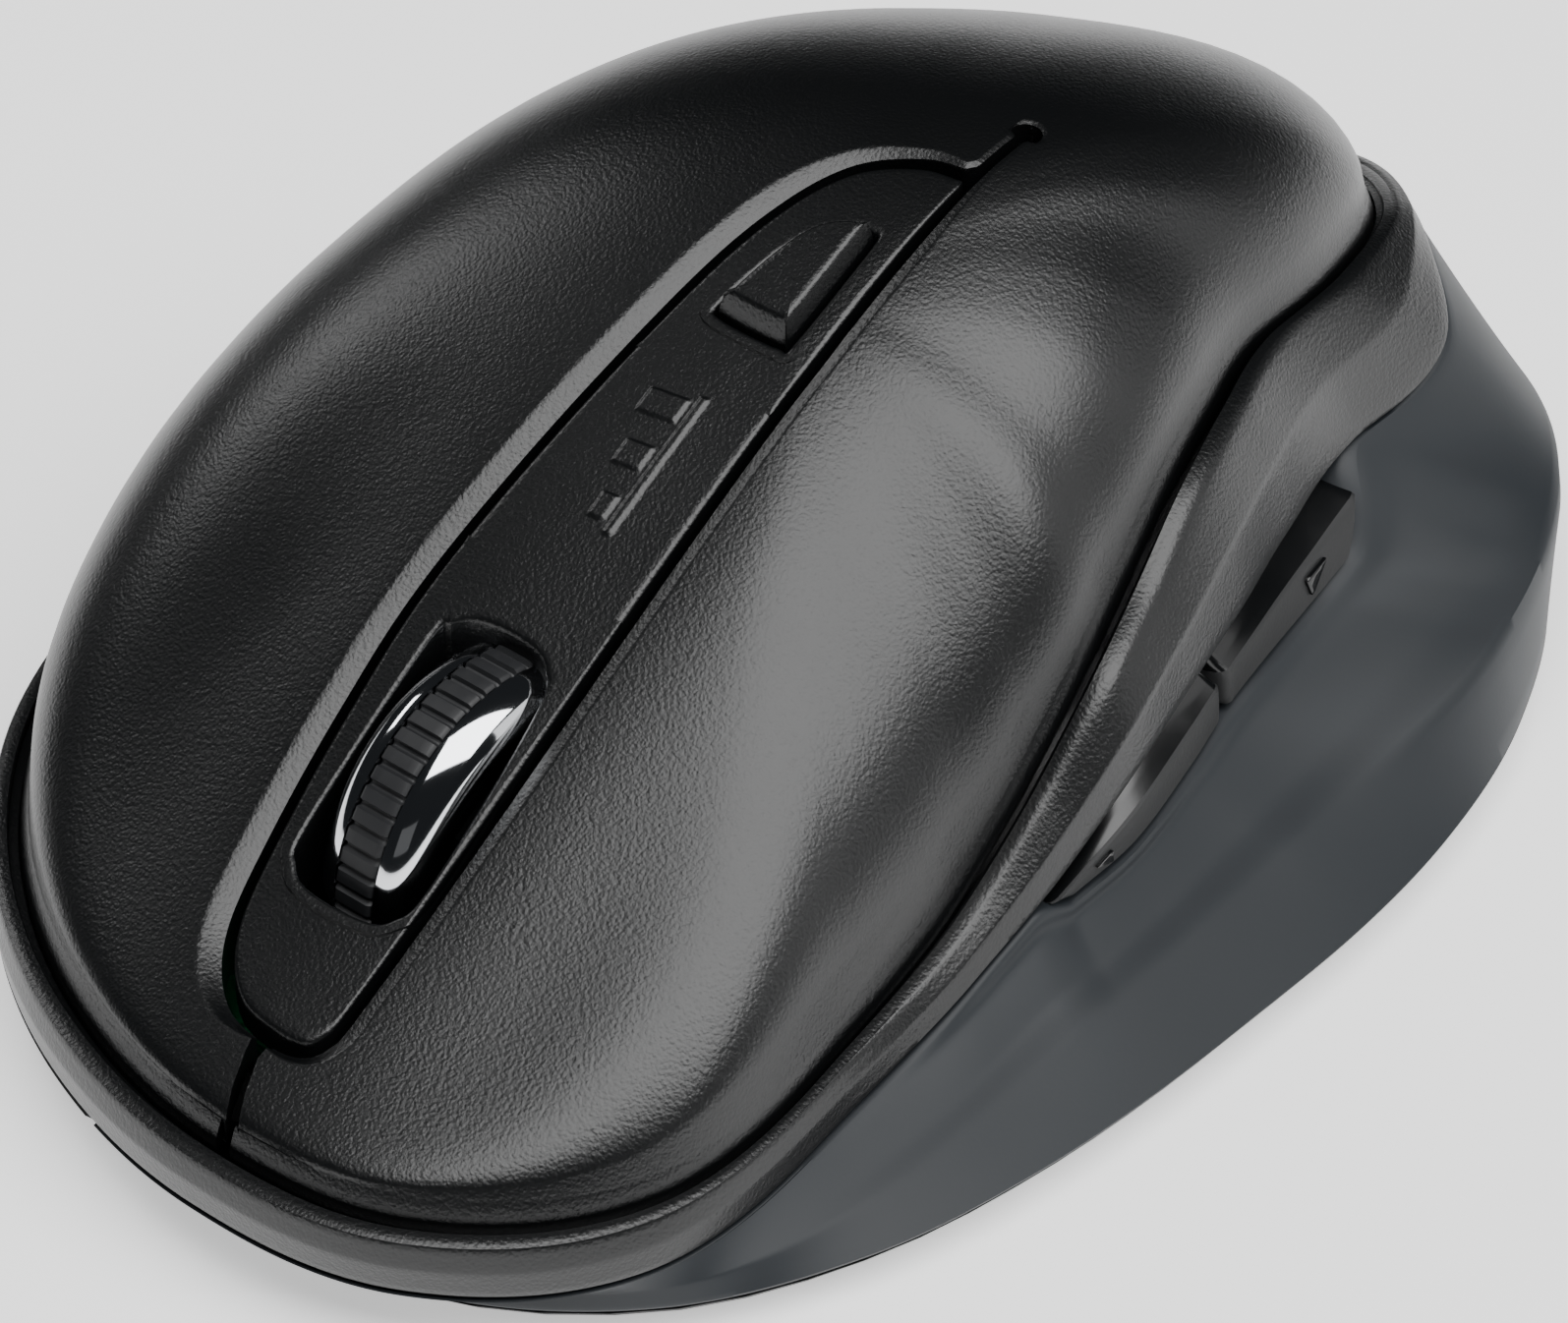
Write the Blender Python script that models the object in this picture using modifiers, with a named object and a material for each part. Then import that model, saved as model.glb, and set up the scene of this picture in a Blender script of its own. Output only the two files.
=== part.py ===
"""A right-handed wireless mouse with six buttons, as an assembly of moulded shells, keys and inner parts.

Metres, +Z up. The buttons point to -Y, the thumb side is +X, and the origin is on the table under the middle.
The outer form is a set of closed rings round one upright axis. Each ring is a table of (degrees, radius,
height) in millimetres, joined by a smooth curve, where -90 degrees is the front and 0 is the thumb side.
"""

import math

import bmesh
import bpy
import numpy as np
from mathutils import Vector

MM = 0.001
STEPS = 80  # points round each ring

# The upright axis of the rings, in millimetres.
AXIS_X, AXIS_Y = 2.8, -0.7

# Rings from the floor up: the widest line just above the floor, the thumb rest's hollow and shoulder, the
# lower line of the side keys, the lower edge of the trim, the ridge along the trim, and its top edge.
WAIST = [
    (-90, 48.4, 2.6), (-75, 47.9, 2.6), (-60, 45.2, 2.6), (-45, 40.8, 2.6), (-30, 36.7, 2.6), (-15, 34.2, 2.6),
    (0, 33.5, 2.6), (15, 34.9, 2.6), (30, 38.0, 2.6), (45, 42.6, 2.6), (60, 47.8, 2.6), (75, 51.0, 2.6),
    (90, 51.6, 2.6), (105, 50.6, 2.6), (120, 47.4, 2.6), (135, 43.6, 2.6), (150, 40.3, 2.6), (165, 38.4, 2.6),
    (180, 38.1, 2.6), (195, 39.5, 2.6), (210, 42.0, 2.6), (225, 45.0, 2.6), (240, 47.3, 2.6), (255, 48.3, 2.6),
]
SHOULDER = [
    (-90, 49.6, 3.7), (-60, 45.1, 3.8), (-45, 38.6, 4.2), (-30, 33.2, 4.8), (-15, 30.2, 5.6), (0, 29.2, 6.0),
    (15, 30.2, 6.4), (30, 33.6, 7.0), (45, 41.0, 8.8), (60, 48.3, 10.5), (75, 52.3, 10.0), (90, 52.4, 8.4),
    (120, 48.0, 5.0), (150, 41.8, 4.0), (180, 38.8, 3.6), (225, 45.4, 3.6), (255, 49.3, 3.6),
]
KEY_LINE = [
    (-90, 50.6, 4.2), (-60, 45.1, 4.7), (-45, 34.6, 5.9), (-30, 28.6, 8.2), (-17, 25.7, 10.0), (0, 24.5, 10.2),
    (15, 24.3, 10.9), (30, 25.7, 12.0), (45, 30.2, 13.0), (57, 38.2, 15.6), (66, 47.4, 15.6), (80, 51.0, 16.0),
    (95, 50.4, 14.0), (120, 47.6, 9.5), (150, 42.0, 5.4), (180, 39.0, 4.0), (225, 45.8, 4.0), (255, 50.2, 4.1),
]
TRIM_FOOT = [
    (-90, 50.9, 4.8), (-75, 50.2, 4.8), (-60, 45.1, 5.3), (-45, 33.8, 6.9), (-30, 28.0, 9.4), (-15, 25.2, 12.0),
    (0, 24.2, 15.0), (15, 23.9, 16.3), (30, 25.2, 17.3), (45, 28.2, 18.0), (57, 33.6, 18.6), (66, 44.0, 19.2),
    (75, 48.0, 20.6), (88, 49.2, 19.6), (105, 48.8, 14.2), (120, 46.4, 10.6), (150, 41.6, 6.0), (165, 39.6, 4.9),
    (180, 39.1, 4.5), (195, 40.4, 4.5), (210, 42.9, 4.5), (225, 45.9, 4.5), (240, 48.2, 4.5), (255, 49.9, 4.6),
]
TRIM_TOP = [
    (-90, 50.8, 8.5), (-75, 50.2, 8.5), (-60, 44.6, 8.7), (-45, 32.7, 9.8), (-30, 26.4, 12.2), (-15, 23.4, 16.4),
    (0, 22.2, 20.9), (15, 21.6, 23.2), (30, 22.5, 26.0), (45, 24.9, 27.2), (57, 28.8, 27.4), (66, 35.8, 26.6),
    (75, 43.0, 25.0), (88, 48.0, 20.8), (105, 47.9, 15.2), (120, 46.0, 12.0), (150, 41.3, 9.0), (165, 39.4, 8.4),
    (180, 38.9, 8.2), (195, 40.2, 8.2), (210, 42.7, 8.2), (225, 45.7, 8.2), (240, 48.0, 8.2), (255, 49.7, 8.3),
]
# How full the dome is towards each side, as (degrees, outer power, inner power).
FULLNESS = [
    (-90, 2.3, 2.1), (-60, 2.3, 2.1), (-30, 2.3, 1.8), (0, 2.3, 1.6), (30, 2.2, 1.5), (60, 2.2, 1.5),
    (75, 2.1, 1.65), (90, 2.05, 1.85), (120, 2.2, 2.05), (150, 2.5, 2.35), (180, 3.0, 3.0), (210, 3.6, 3.4),
    (225, 3.4, 3.2), (240, 3.0, 2.7),
]
CROWN_HEIGHT = 42.6  # highest point of the palm
CROWN_SLOPE = 0.47  # fall towards the buttons, in mm per mm
CROWN_START = 13.2  # where that fall begins, and how softly
CROWN_SOFT = 5.0

CHANNELS_X = (-15.0, 15.5)  # the finger channels in the two buttons
CHANNEL_WIDTH, CHANNEL_DEPTH, CHANNEL_END = 7.0, 0.9, -14.0

WALL = 1.6  # moulded wall
GAP = 0.3  # gap that pieces keep where they meet

# The centre gap, the strip between the two buttons, and what sits in it.
SPLIT_X = 5.8
FLEX_Y = 12.0
GAP_WIDTH = 0.7
STRIP_EDGE = [
    (5.45, 10.4), (2.6, 9.8), (-0.6, 7.4), (-2.8, 2.0), (-4.3, -7.0), (-5.9, -21.0), (-5.6, -29.0),
    (-4.6, -36.0), (-3.2, -41.0), (-0.6, -43.7), (2.6, -44.3), (4.7, -44.0), (5.45, -42.8),
]
WHEEL_HOLE = [
    (-3.9, -24.6), (-3.3, -23.1), (-1.6, -22.3), (1.6, -22.2), (3.3, -22.9), (4.2, -24.8), (5.0, -34.4),
    (4.4, -36.7), (2.8, -37.5), (-0.9, -37.6), (-2.7, -36.8), (-3.5, -34.8),
]
KEY_HOLE = [
    (3.85, -2.4), (3.85, 4.2), (3.2, 4.9), (1.8, 4.6), (0.3, 3.4), (-0.7, 1.3), (-1.5, -2.3), (-1.1, -3.1),
    (3.2, -3.1),
]

WHEEL_CENTRE = (0.5, -25.3, 13.0)
WHEEL_RADIUS = 10.8
TYRE_WIDTH = 2.6
RIM_WIDTH = 3.0  # from the wheel's middle to the outside of each bright rim

FLOOR_LOW, FLOOR_TOP = 0.8, 2.3
BOARD_LOW, BOARD_TOP = 3.4, 4.6
BATTERY_RADIUS, BATTERY_LENGTH = 7.2, 50.0
BATTERY_CENTRE = (1.0, 19.5, 10.4)
KEY_SPLIT = 25.0  # where the two side keys meet, in degrees
KEYS_FROM, KEYS_TO = -16.0, 55.0


for old in list(bpy.data.objects):
    bpy.data.objects.remove(old)
model = bpy.data.collections.new("computer_mouse")
cutters = bpy.data.collections.new("cutters")
bpy.context.scene.collection.children.link(model)
bpy.context.scene.collection.children.link(cutters)


def material(name, colour, roughness, metallic=0.0):
    mat = bpy.data.materials.new(name)
    mat.use_nodes = True
    shader = mat.node_tree.nodes["Principled BSDF"]
    shader.inputs["Base Color"].default_value = (*colour, 1)
    shader.inputs["Roughness"].default_value = roughness
    shader.inputs["Metallic"].default_value = metallic
    return mat


GRAINED = material("grained_black_abs", (0.018, 0.019, 0.021), 0.5)
SATIN = material("satin_black_abs", (0.022, 0.023, 0.025), 0.35)
RUBBERY = material("soft_touch_grip", (0.045, 0.048, 0.052), 0.55)
RUBBER = material("tyre_rubber", (0.02, 0.02, 0.02), 0.7)
CHROME = material("chrome_plate", (0.8, 0.8, 0.8), 0.05, 1.0)
NYLON = material("black_nylon", (0.03, 0.03, 0.03), 0.5)
BOARD = material("solder_mask", (0.01, 0.11, 0.05), 0.4)
STEEL = material("zinc_steel", (0.55, 0.55, 0.56), 0.3, 1.0)
CHIP = material("epoxy_chip", (0.015, 0.015, 0.016), 0.5)
CLEAR = material("clear_lens", (0.8, 0.82, 0.84), 0.1)
PTFE = material("ptfe_feet", (0.12, 0.12, 0.125), 0.45)
CELL = material("battery_sleeve", (0.5, 0.35, 0.1), 0.3)


def ring_at(table, degrees):
    """Radius and height of a ring, by a smooth periodic curve through its table."""
    angles = [row[0] for row in table]
    degrees = (degrees - angles[0]) % 360 + angles[0]
    count = len(table)
    last = max(i for i in range(count) if angles[i] <= degrees + 1e-9)
    around = [(angles[(last + k) % count] + 360 * ((last + k) // count), table[(last + k) % count][1:])
              for k in (-1, 0, 1, 2)]
    (a0, p0), (a1, p1), (a2, p2), (a3, p3) = [(a, np.array(p, float)) for a, p in around]
    t = (degrees - a1) / (a2 - a1)
    slope1 = (p2 - p0) / (a2 - a0) * (a2 - a1)
    slope2 = (p3 - p1) / (a3 - a1) * (a2 - a1)
    return ((2 * t**3 - 3 * t**2 + 1) * p1 + (t**3 - 2 * t**2 + t) * slope1
            + (3 * t**2 - 2 * t**3) * p2 + (t**3 - t**2) * slope2)


def place(radius, height, degrees):
    turn = math.radians(degrees)
    return Vector((AXIS_X + radius * math.cos(turn), AXIS_Y + radius * math.sin(turn), height)) * MM


def crown(y):
    """Height of the middle of the dome at a place along the mouse."""
    fall = CROWN_SOFT * math.log1p(math.exp((CROWN_START - y) / CROWN_SOFT))
    return CROWN_HEIGHT - CROWN_SLOPE * fall


def channel(x, y):
    """Depth of the shallow finger channels in the two buttons."""
    reach = 1 / (1 + math.exp((y - CHANNEL_END) / 5))
    return CHANNEL_DEPTH * reach * sum(math.exp(-(((x - middle) / CHANNEL_WIDTH) ** 2)) for middle in CHANNELS_X)


def cover_edge(degrees, inset=0.0):
    """Radius and height of the line where the cover's dome starts, inside the trim's top edge."""
    radius, height = ring_at(TRIM_TOP, degrees)
    return radius - 2.3 - inset, height + 1.3


def dome(degrees, share, drop=0.0):
    """A point of the cover, at a share of the way from the axis to its edge, lowered by drop."""
    radius, low = cover_edge(degrees, drop)
    outer, inner = ring_at(FULLNESS, degrees)
    x = AXIS_X + share * radius * math.cos(math.radians(degrees))
    y = AXIS_Y + share * radius * math.sin(math.radians(degrees))
    height = low + (crown(y) - low) * (1 - share**outer) ** (1 / inner)
    return place(share * radius, height - drop - channel(x, y) * (1 - share**6), degrees)


def dome_height(x, y, drop=0.0):
    """Height of the cover over a place, in millimetres."""
    degrees = math.degrees(math.atan2(y - AXIS_Y, x - AXIS_X))
    share = math.hypot(x - AXIS_X, y - AXIS_Y) / cover_edge(degrees)[0]
    return dome(degrees, min(share, 0.999), drop).z / MM


def store(obj, mat, collection):
    """Links a new object, gives it its material, and hides it if it is only a cutter."""
    collection.objects.link(obj)
    obj.data.materials.append(mat)
    if collection is cutters:
        obj.hide_render = True
        obj.display_type = "WIRE"
    return obj


def mesh_object(name, bm, mat, collection=model, sharp=35):
    bmesh.ops.recalc_face_normals(bm, faces=bm.faces)
    mesh = bpy.data.meshes.new(name)
    bm.to_mesh(mesh)
    bm.free()
    mesh.shade_smooth()
    mesh.set_sharp_from_angle(angle=math.radians(sharp))
    return store(bpy.data.objects.new(name, mesh), mat, collection)


def loft(name, rings, mat, wrap=True, turn=True, collection=model):
    """Faces between rings of equal length. wrap joins the last ring to the first, turn closes each ring."""
    bm = bmesh.new()
    rows = []
    count = max(len(ring) for ring in rings)
    for ring in rings:
        points = [bm.verts.new(point) for point in ring]
        rows.append(points if len(points) > 1 else points * count)
    pairs = [(k, k + 1) for k in range(len(rows) - 1)] + ([(len(rows) - 1, 0)] if wrap else [])
    for a, b in pairs:
        for i in range(count if turn else count - 1):
            j = (i + 1) % count
            corners = []
            for vert in (rows[a][i], rows[a][j], rows[b][j], rows[b][i]):
                if vert not in corners:
                    corners.append(vert)
            if len(corners) > 2:
                bm.faces.new(corners)
    if not turn:
        bm.faces.new([row[0] for row in rows])
        bm.faces.new([row[-1] for row in reversed(rows)])
    return mesh_object(name, bm, mat, collection)


def arc_angles(start, end, step=360 / STEPS):
    count = max(2, math.ceil((end - start) / step) + 1)
    return [start + (end - start) * i / (count - 1) for i in range(count)]


def ring_shell(name, section, mat, start=None, end=None, collection=model):
    """A ring-shaped shell whose cut face at each angle is the list of (radius, height) that section gives."""
    whole = start is None
    angles = [360 * i / STEPS for i in range(STEPS)] if whole else arc_angles(start, end)
    faces = [section(angle) for angle in angles]
    rings = [[place(*face[k], angle) for face, angle in zip(faces, angles)] for k in range(len(faces[0]))]
    return loft(name, rings, mat, turn=whole, collection=collection)


def smooth_outline(points, steps=4):
    """A closed outline that runs smoothly through its corner points."""
    count = len(points)
    out = []
    for i in range(count):
        p0, p1, p2, p3 = [np.array(points[(i + k) % count]) for k in (-1, 0, 1, 2)]
        for s in range(steps):
            t = s / steps
            out.append(tuple(0.5 * (2 * p1 + (p2 - p0) * t + (2 * p0 - 5 * p1 + 4 * p2 - p3) * t**2
                                    + (3 * p1 - p0 - 3 * p2 + p3) * t**3)))
    return out


def strip_outline():
    """The strip's outline: curved on one side, straight along the centre gap."""
    count = len(STRIP_EDGE)
    padded = [STRIP_EDGE[0]] + STRIP_EDGE + [STRIP_EDGE[-1]]
    out = []
    for i in range(count - 1):
        p0, p1, p2, p3 = [np.array(padded[i + k]) for k in range(4)]
        for s in range(3):
            t = s / 3
            out.append(tuple(0.5 * (2 * p1 + (p2 - p0) * t + (2 * p0 - 5 * p1 + 4 * p2 - p3) * t**2
                                    + (3 * p1 - p0 - 3 * p2 + p3) * t**3)))
    return out + [STRIP_EDGE[-1]]


def offset(outline, distance):
    """The outline moved outwards by a distance, corner by corner."""
    points = [np.array(p, float) for p in outline]
    area = sum(points[i - 1][0] * points[i][1] - points[i][0] * points[i - 1][1] for i in range(len(points)))
    side = 1 if area > 0 else -1
    out = []
    for i, point in enumerate(points):
        before = point - points[i - 1]
        after = points[(i + 1) % len(points)] - point
        n1 = np.array((before[1], -before[0])) / np.hypot(*before) * side
        n2 = np.array((after[1], -after[0])) / np.hypot(*after) * side
        middle = (n1 + n2) / np.hypot(*(n1 + n2))
        out.append(tuple(point + middle * distance / max(0.5, float(middle @ n1))))
    return out


def prism(name, outline, low, high, mat=NYLON, collection=cutters):
    """An upright plate from a flat outline, made as a filled 2D curve and turned into a mesh."""
    curve = bpy.data.curves.new(name, "CURVE")
    curve.dimensions = "2D"
    curve.fill_mode = "BOTH"
    curve.extrude = (high - low) / 2 * MM
    spline = curve.splines.new("POLY")
    spline.points.add(len(outline) - 1)
    for point, (x, y) in zip(spline.points, outline):
        point.co = (x * MM, y * MM, 0, 1)
    spline.use_cyclic_u = True
    guide = bpy.data.objects.new(name, curve)
    cutters.objects.link(guide)
    guide.location.z = (low + high) / 2 * MM
    bpy.context.view_layer.update()
    evaluated = guide.evaluated_get(bpy.context.evaluated_depsgraph_get())
    bm = bmesh.new()
    bm.from_mesh(bpy.data.meshes.new_from_object(evaluated))
    bmesh.ops.remove_doubles(bm, verts=bm.verts, dist=1e-7)
    bm.transform(guide.matrix_world)
    bpy.data.objects.remove(guide)
    return mesh_object(name, bm, mat, collection, sharp=30)


def block(name, size, centre, mat, collection=model, bevel=0.0, turn_z=0.0):
    """A box of a size in millimetres, with its edges rounded where bevel is set."""
    bm = bmesh.new()
    bmesh.ops.create_cube(bm, size=MM)
    bmesh.ops.scale(bm, vec=size, verts=bm.verts)
    obj = mesh_object(name, bm, mat, collection)
    obj.location = Vector(centre) * MM
    obj.rotation_euler.z = math.radians(turn_z)
    if bevel:
        edge = obj.modifiers.new("rounded_edges", "BEVEL")
        edge.width = bevel * MM
        edge.segments = 2
    return obj


def turned(name, profile, centre, axis, mat, steps=32, collection=model):
    """A turned piece from (radius, distance along the axis) pairs. axis is X, Y or Z."""
    bm = bmesh.new()
    closed = profile[0] == profile[-1]
    verts = [bm.verts.new((radius * MM, 0, along * MM)) for radius, along in profile[: -1 if closed else None]]
    for a, b in zip(verts, verts[1:] + verts[:1] if closed else verts[1:]):
        bm.edges.new((a, b))
    mesh = bpy.data.meshes.new(name)
    bm.to_mesh(mesh)
    bm.free()
    obj = store(bpy.data.objects.new(name, mesh), mat, collection)
    screw = obj.modifiers.new("turned", "SCREW")
    screw.steps = steps
    screw.render_steps = steps
    screw.use_merge_vertices = True
    screw.merge_threshold = 1e-6
    screw.use_smooth_shade = True
    obj.location = Vector(centre) * MM
    obj.rotation_euler = {"X": (0, math.pi / 2, 0), "Y": (-math.pi / 2, 0, 0), "Z": (0, 0, 0)}[axis]
    return obj


def combine(target, other, operation):
    change = target.modifiers.new(operation.lower() + "_" + other.name, "BOOLEAN")
    change.operation = operation
    change.solver = "EXACT"
    change.object = other


def cut(target, *others):
    for other in others:
        combine(target, other, "DIFFERENCE")


def join(target, *others):
    for other in others:
        combine(target, other, "UNION")


# ---------------------------------------------------------------- casing

def trim_section(degrees):
    foot_radius, foot = ring_at(TRIM_FOOT, degrees)
    top_radius, top = ring_at(TRIM_TOP, degrees)
    share = 0.56
    ridge = (foot_radius + (top_radius - foot_radius) * share + 0.35, foot + (top - foot) * share)
    return [(foot_radius, foot), ridge, (top_radius, top), (top_radius - 1.0, top),
            (ridge[0] - WALL - 0.2, ridge[1]), (foot_radius - WALL, foot)]


def grip_top(degrees):
    """Upper edge of the thumb grip: under the trim, and lower where the side keys sit."""
    radius, height = ring_at(TRIM_FOOT, degrees)
    if KEYS_FROM - 1 <= degrees <= KEYS_TO + 1:
        radius, height = ring_at(KEY_LINE, degrees)
    return radius, height - GAP


def grip_section(degrees):
    waist_radius, waist = ring_at(WAIST, degrees)
    mid_radius, mid = ring_at(SHOULDER, degrees)
    top_radius, top = grip_top(degrees)
    low = FLOOR_LOW + 1.4
    mid = max(min(mid, top - 0.3), waist + 0.2)
    waist = min(waist, mid - 0.2)
    # Behind the keys a ledge reaches in under the cover's skirt.
    ledge = top_radius - (WALL if degrees < 80 else 3.1)
    return [(waist_radius - 0.1, low), (waist_radius, waist), (mid_radius, mid), (top_radius, top), (ledge, top),
            (ledge, top - 1.2), (top_radius - WALL - 0.1, top - 1.3), (mid_radius - WALL, mid - 0.2),
            (waist_radius - WALL, waist), (waist_radius - WALL, low)]


def cover_shell(name, mat, lift=0.0, thickness=WALL, collection=model):
    """The whole domed cover with its skirt, as one shell. lift raises it, for pieces that follow the dome."""
    shares = [0.985, 0.95, 0.9, 0.82, 0.7, 0.54, 0.34, 0.14]
    angles = [360 * i / STEPS for i in range(STEPS)]
    rings = []

    def side(inset, up):
        out = []
        for angle in angles:
            radius, height = ring_at(TRIM_TOP, angle)
            out.append(place(radius - 1.5 - inset, height + up, angle))
        return out

    rise = Vector((0, 0, lift * MM))
    rings.append(side(0.0, -1.0))
    rings.append(side(0.0, 0.0))
    rings += [[dome(a, share) + rise for a in angles] for share in [1.0] + shares]
    rings.append([dome(0, 0.0) + rise])
    rings.append([dome(0, 0.0, thickness) + rise])
    rings += [[dome(a, share, thickness) + rise for a in angles] for share in reversed(shares[1:])]
    rings.append(side(thickness + 0.6, -1.0))
    return loft(name, rings, mat, collection=collection)


trim_band = ring_shell("trim_band", trim_section, GRAINED, start=-240.0, end=86.0)
thumb_grip = ring_shell("thumb_grip", grip_section, RUBBERY, start=-100.0, end=140.0)


def floor_ring(inset, height):
    angles = [360 * i / STEPS for i in range(STEPS)]
    return [place(ring_at(WAIST, angle)[0] - inset, height, angle) for angle in angles]


bottom_case = loft(
    "bottom_case",
    [[Vector((AXIS_X, AXIS_Y, FLOOR_LOW)) * MM], floor_ring(1.4, FLOOR_LOW), floor_ring(0.4, FLOOR_LOW + 1.1),
     floor_ring(2.6, FLOOR_LOW + 1.1), floor_ring(2.6, FLOOR_TOP), [Vector((AXIS_X, AXIS_Y, FLOOR_TOP)) * MM]],
    SATIN, wrap=False,
)


def side_wall_section(degrees):
    """The bottom case's own wall, on the side that the thumb grip doesn't reach."""
    waist_radius = ring_at(WAIST, degrees)[0]
    foot_radius, foot = ring_at(TRIM_FOOT, degrees)
    return [(waist_radius - 0.5, FLOOR_LOW + 0.7), (waist_radius, 2.6), (foot_radius - 0.3, foot - GAP),
            (foot_radius - 2.0, foot - GAP), (waist_radius - 2.8, 2.6), (waist_radius - 2.8, FLOOR_LOW + 0.7)]


side_wall = ring_shell("side_wall", side_wall_section, SATIN, start=141.5, end=258.5, collection=cutters)
join(bottom_case, side_wall)

# The cover is one moulding. It is opened at the flex line, where its two fingers bend as the buttons.
far = 70.0
half_gap = GAP_WIDTH / 2
slit = [(2.0, -44.0), (2.6, -46.3), (3.3, -48.0), (4.2, -49.8), (5.0, -53.0), (5.6, -60.0)]
left_area = [(SPLIT_X + half_gap, FLEX_Y - GAP / 2), (far, FLEX_Y - GAP / 2), (far, -far), (6.2, -far)]
left_area += [(x + half_gap, y) for x, y in reversed(slit)] + [(4.0, -30.0), (4.0, 9.0), (SPLIT_X + half_gap, 10.9)]
right_area = [(SPLIT_X - half_gap, FLEX_Y - GAP / 2), (-far, FLEX_Y - 1.4), (-far, -far), (5.0, -far)]
right_area += [(x - half_gap, y) for x, y in reversed(slit)] + [(1.6, -30.0), (1.6, 9.0), (SPLIT_X - half_gap, 10.9)]
palm_area = [(-far, FLEX_Y + GAP / 2), (SPLIT_X - half_gap, FLEX_Y + GAP / 2), (SPLIT_X - half_gap, 15.3),
             (SPLIT_X + half_gap, 15.3), (SPLIT_X + half_gap, FLEX_Y + GAP / 2), (far, FLEX_Y + GAP / 2), (far, far),
             (-far, far)]
strip = strip_outline()
strip_opening = prism("strip_opening", offset(strip, GAP_WIDTH), 4, 60)

covers = {}
for name, area in (("left_button", left_area), ("right_button", right_area), ("palm_cover", palm_area)):
    covers[name] = cover_shell(name, GRAINED)
    combine(covers[name], prism(name + "_area", area, -5, 70), "INTERSECT")
cut(covers["left_button"], strip_opening)
cut(covers["right_button"], strip_opening)
key_way = turned("gap_round", [(0, 60), (0.9, 60), (0.9, 20), (0, 20)], (SPLIT_X, 15.3, 0), "Z", NYLON, 16, cutters)
cut(covers["palm_cover"], key_way)

# A short rib under each button presses its switch.
for name, x in (("left_button", 14.5), ("right_button", -14.5)):
    top = dome_height(x, -33.0, WALL) + 0.7
    rib = block(name + "_rib", (4.0, 2.0, top - 12.4), (x, -33.0, (top + 12.4) / 2), NYLON, cutters)
    join(covers[name], rib)

centre_bezel = cover_shell("centre_bezel", GRAINED, lift=-0.25, thickness=1.8)
combine(centre_bezel, prism("strip_area", strip, 4, 60), "INTERSECT")
wheel_hole = smooth_outline(WHEEL_HOLE, 2)
key_hole = smooth_outline(KEY_HOLE, 2)
cut(centre_bezel, prism("wheel_opening", wheel_hole, 4, 60), prism("key_opening", key_hole, 4, 60))
# The wheel turns clear of the strip's underside.
cut(centre_bezel, turned("wheel_clearance", [(0, 3.9), (11.2, 3.9), (11.2, -3.9), (0, -3.9)], WHEEL_CENTRE, "X", NYLON,
                         48, cutters))

dpi_button = cover_shell("dpi_button", SATIN, lift=0.9, thickness=3.2)
combine(dpi_button, prism("key_area", offset(key_hole, -0.35), 20, 60), "INTERSECT")
KEY_MIDDLE = (1.4, 0.6)
key_under = dome_height(*KEY_MIDDLE, 3.2) + 0.9
stem = turned("key_stem", [(0, 1.0), (1.1, 1.0), (1.1, -2.6), (0, -2.6)], (*KEY_MIDDLE, key_under), "Z", NYLON, 16,
              cutters)
join(dpi_button, stem)


# ---------------------------------------------------------------- side keys

def side_key_section(degrees):
    top_radius, top = ring_at(TRIM_FOOT, degrees)
    low_radius, low = ring_at(KEY_LINE, degrees)
    top -= 0.5
    low += 0.2
    middle = low + (top - low) * 0.62
    face_radius = low_radius + (top_radius - low_radius) * 0.55 + 0.25
    return [(low_radius + 0.1, low), (face_radius, middle), (top_radius - 1.0, top),
            (top_radius - 3.2, top), (low_radius - 2.6, low)]


side_button_front = ring_shell("side_button_front", side_key_section, SATIN, start=KEYS_FROM + 0.6, end=KEY_SPLIT - 0.6)
side_button_rear = ring_shell("side_button_rear", side_key_section, SATIN, start=KEY_SPLIT + 0.6, end=KEYS_TO - 0.6)


def carrier_section(degrees):
    """The inner frame that holds the side keys' switches, a little way behind the keys."""
    radius, top = ring_at(TRIM_FOOT, degrees)
    low = ring_at(KEY_LINE, degrees)[1]
    return [(radius - 8.7, low), (radius - 8.7, top - 0.5), (radius - 9.9, top - 0.5), (radius - 9.9, low)]


side_key_carrier = ring_shell("side_key_carrier", carrier_section, NYLON, start=KEYS_FROM + 6, end=KEYS_TO - 6)
for name, degrees in (("side_switch_front", 4.0), ("side_switch_rear", 40.0)):
    radius, top = ring_at(TRIM_FOOT, degrees)
    low = ring_at(KEY_LINE, degrees)[1]
    middle = place(radius - 5.9, (top + low) / 2, degrees) / MM
    block(name, (2.0, 4.5, 3.2), middle, CHIP, bevel=0.2, turn_z=degrees)

# ---------------------------------------------------------------- scroll wheel

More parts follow.
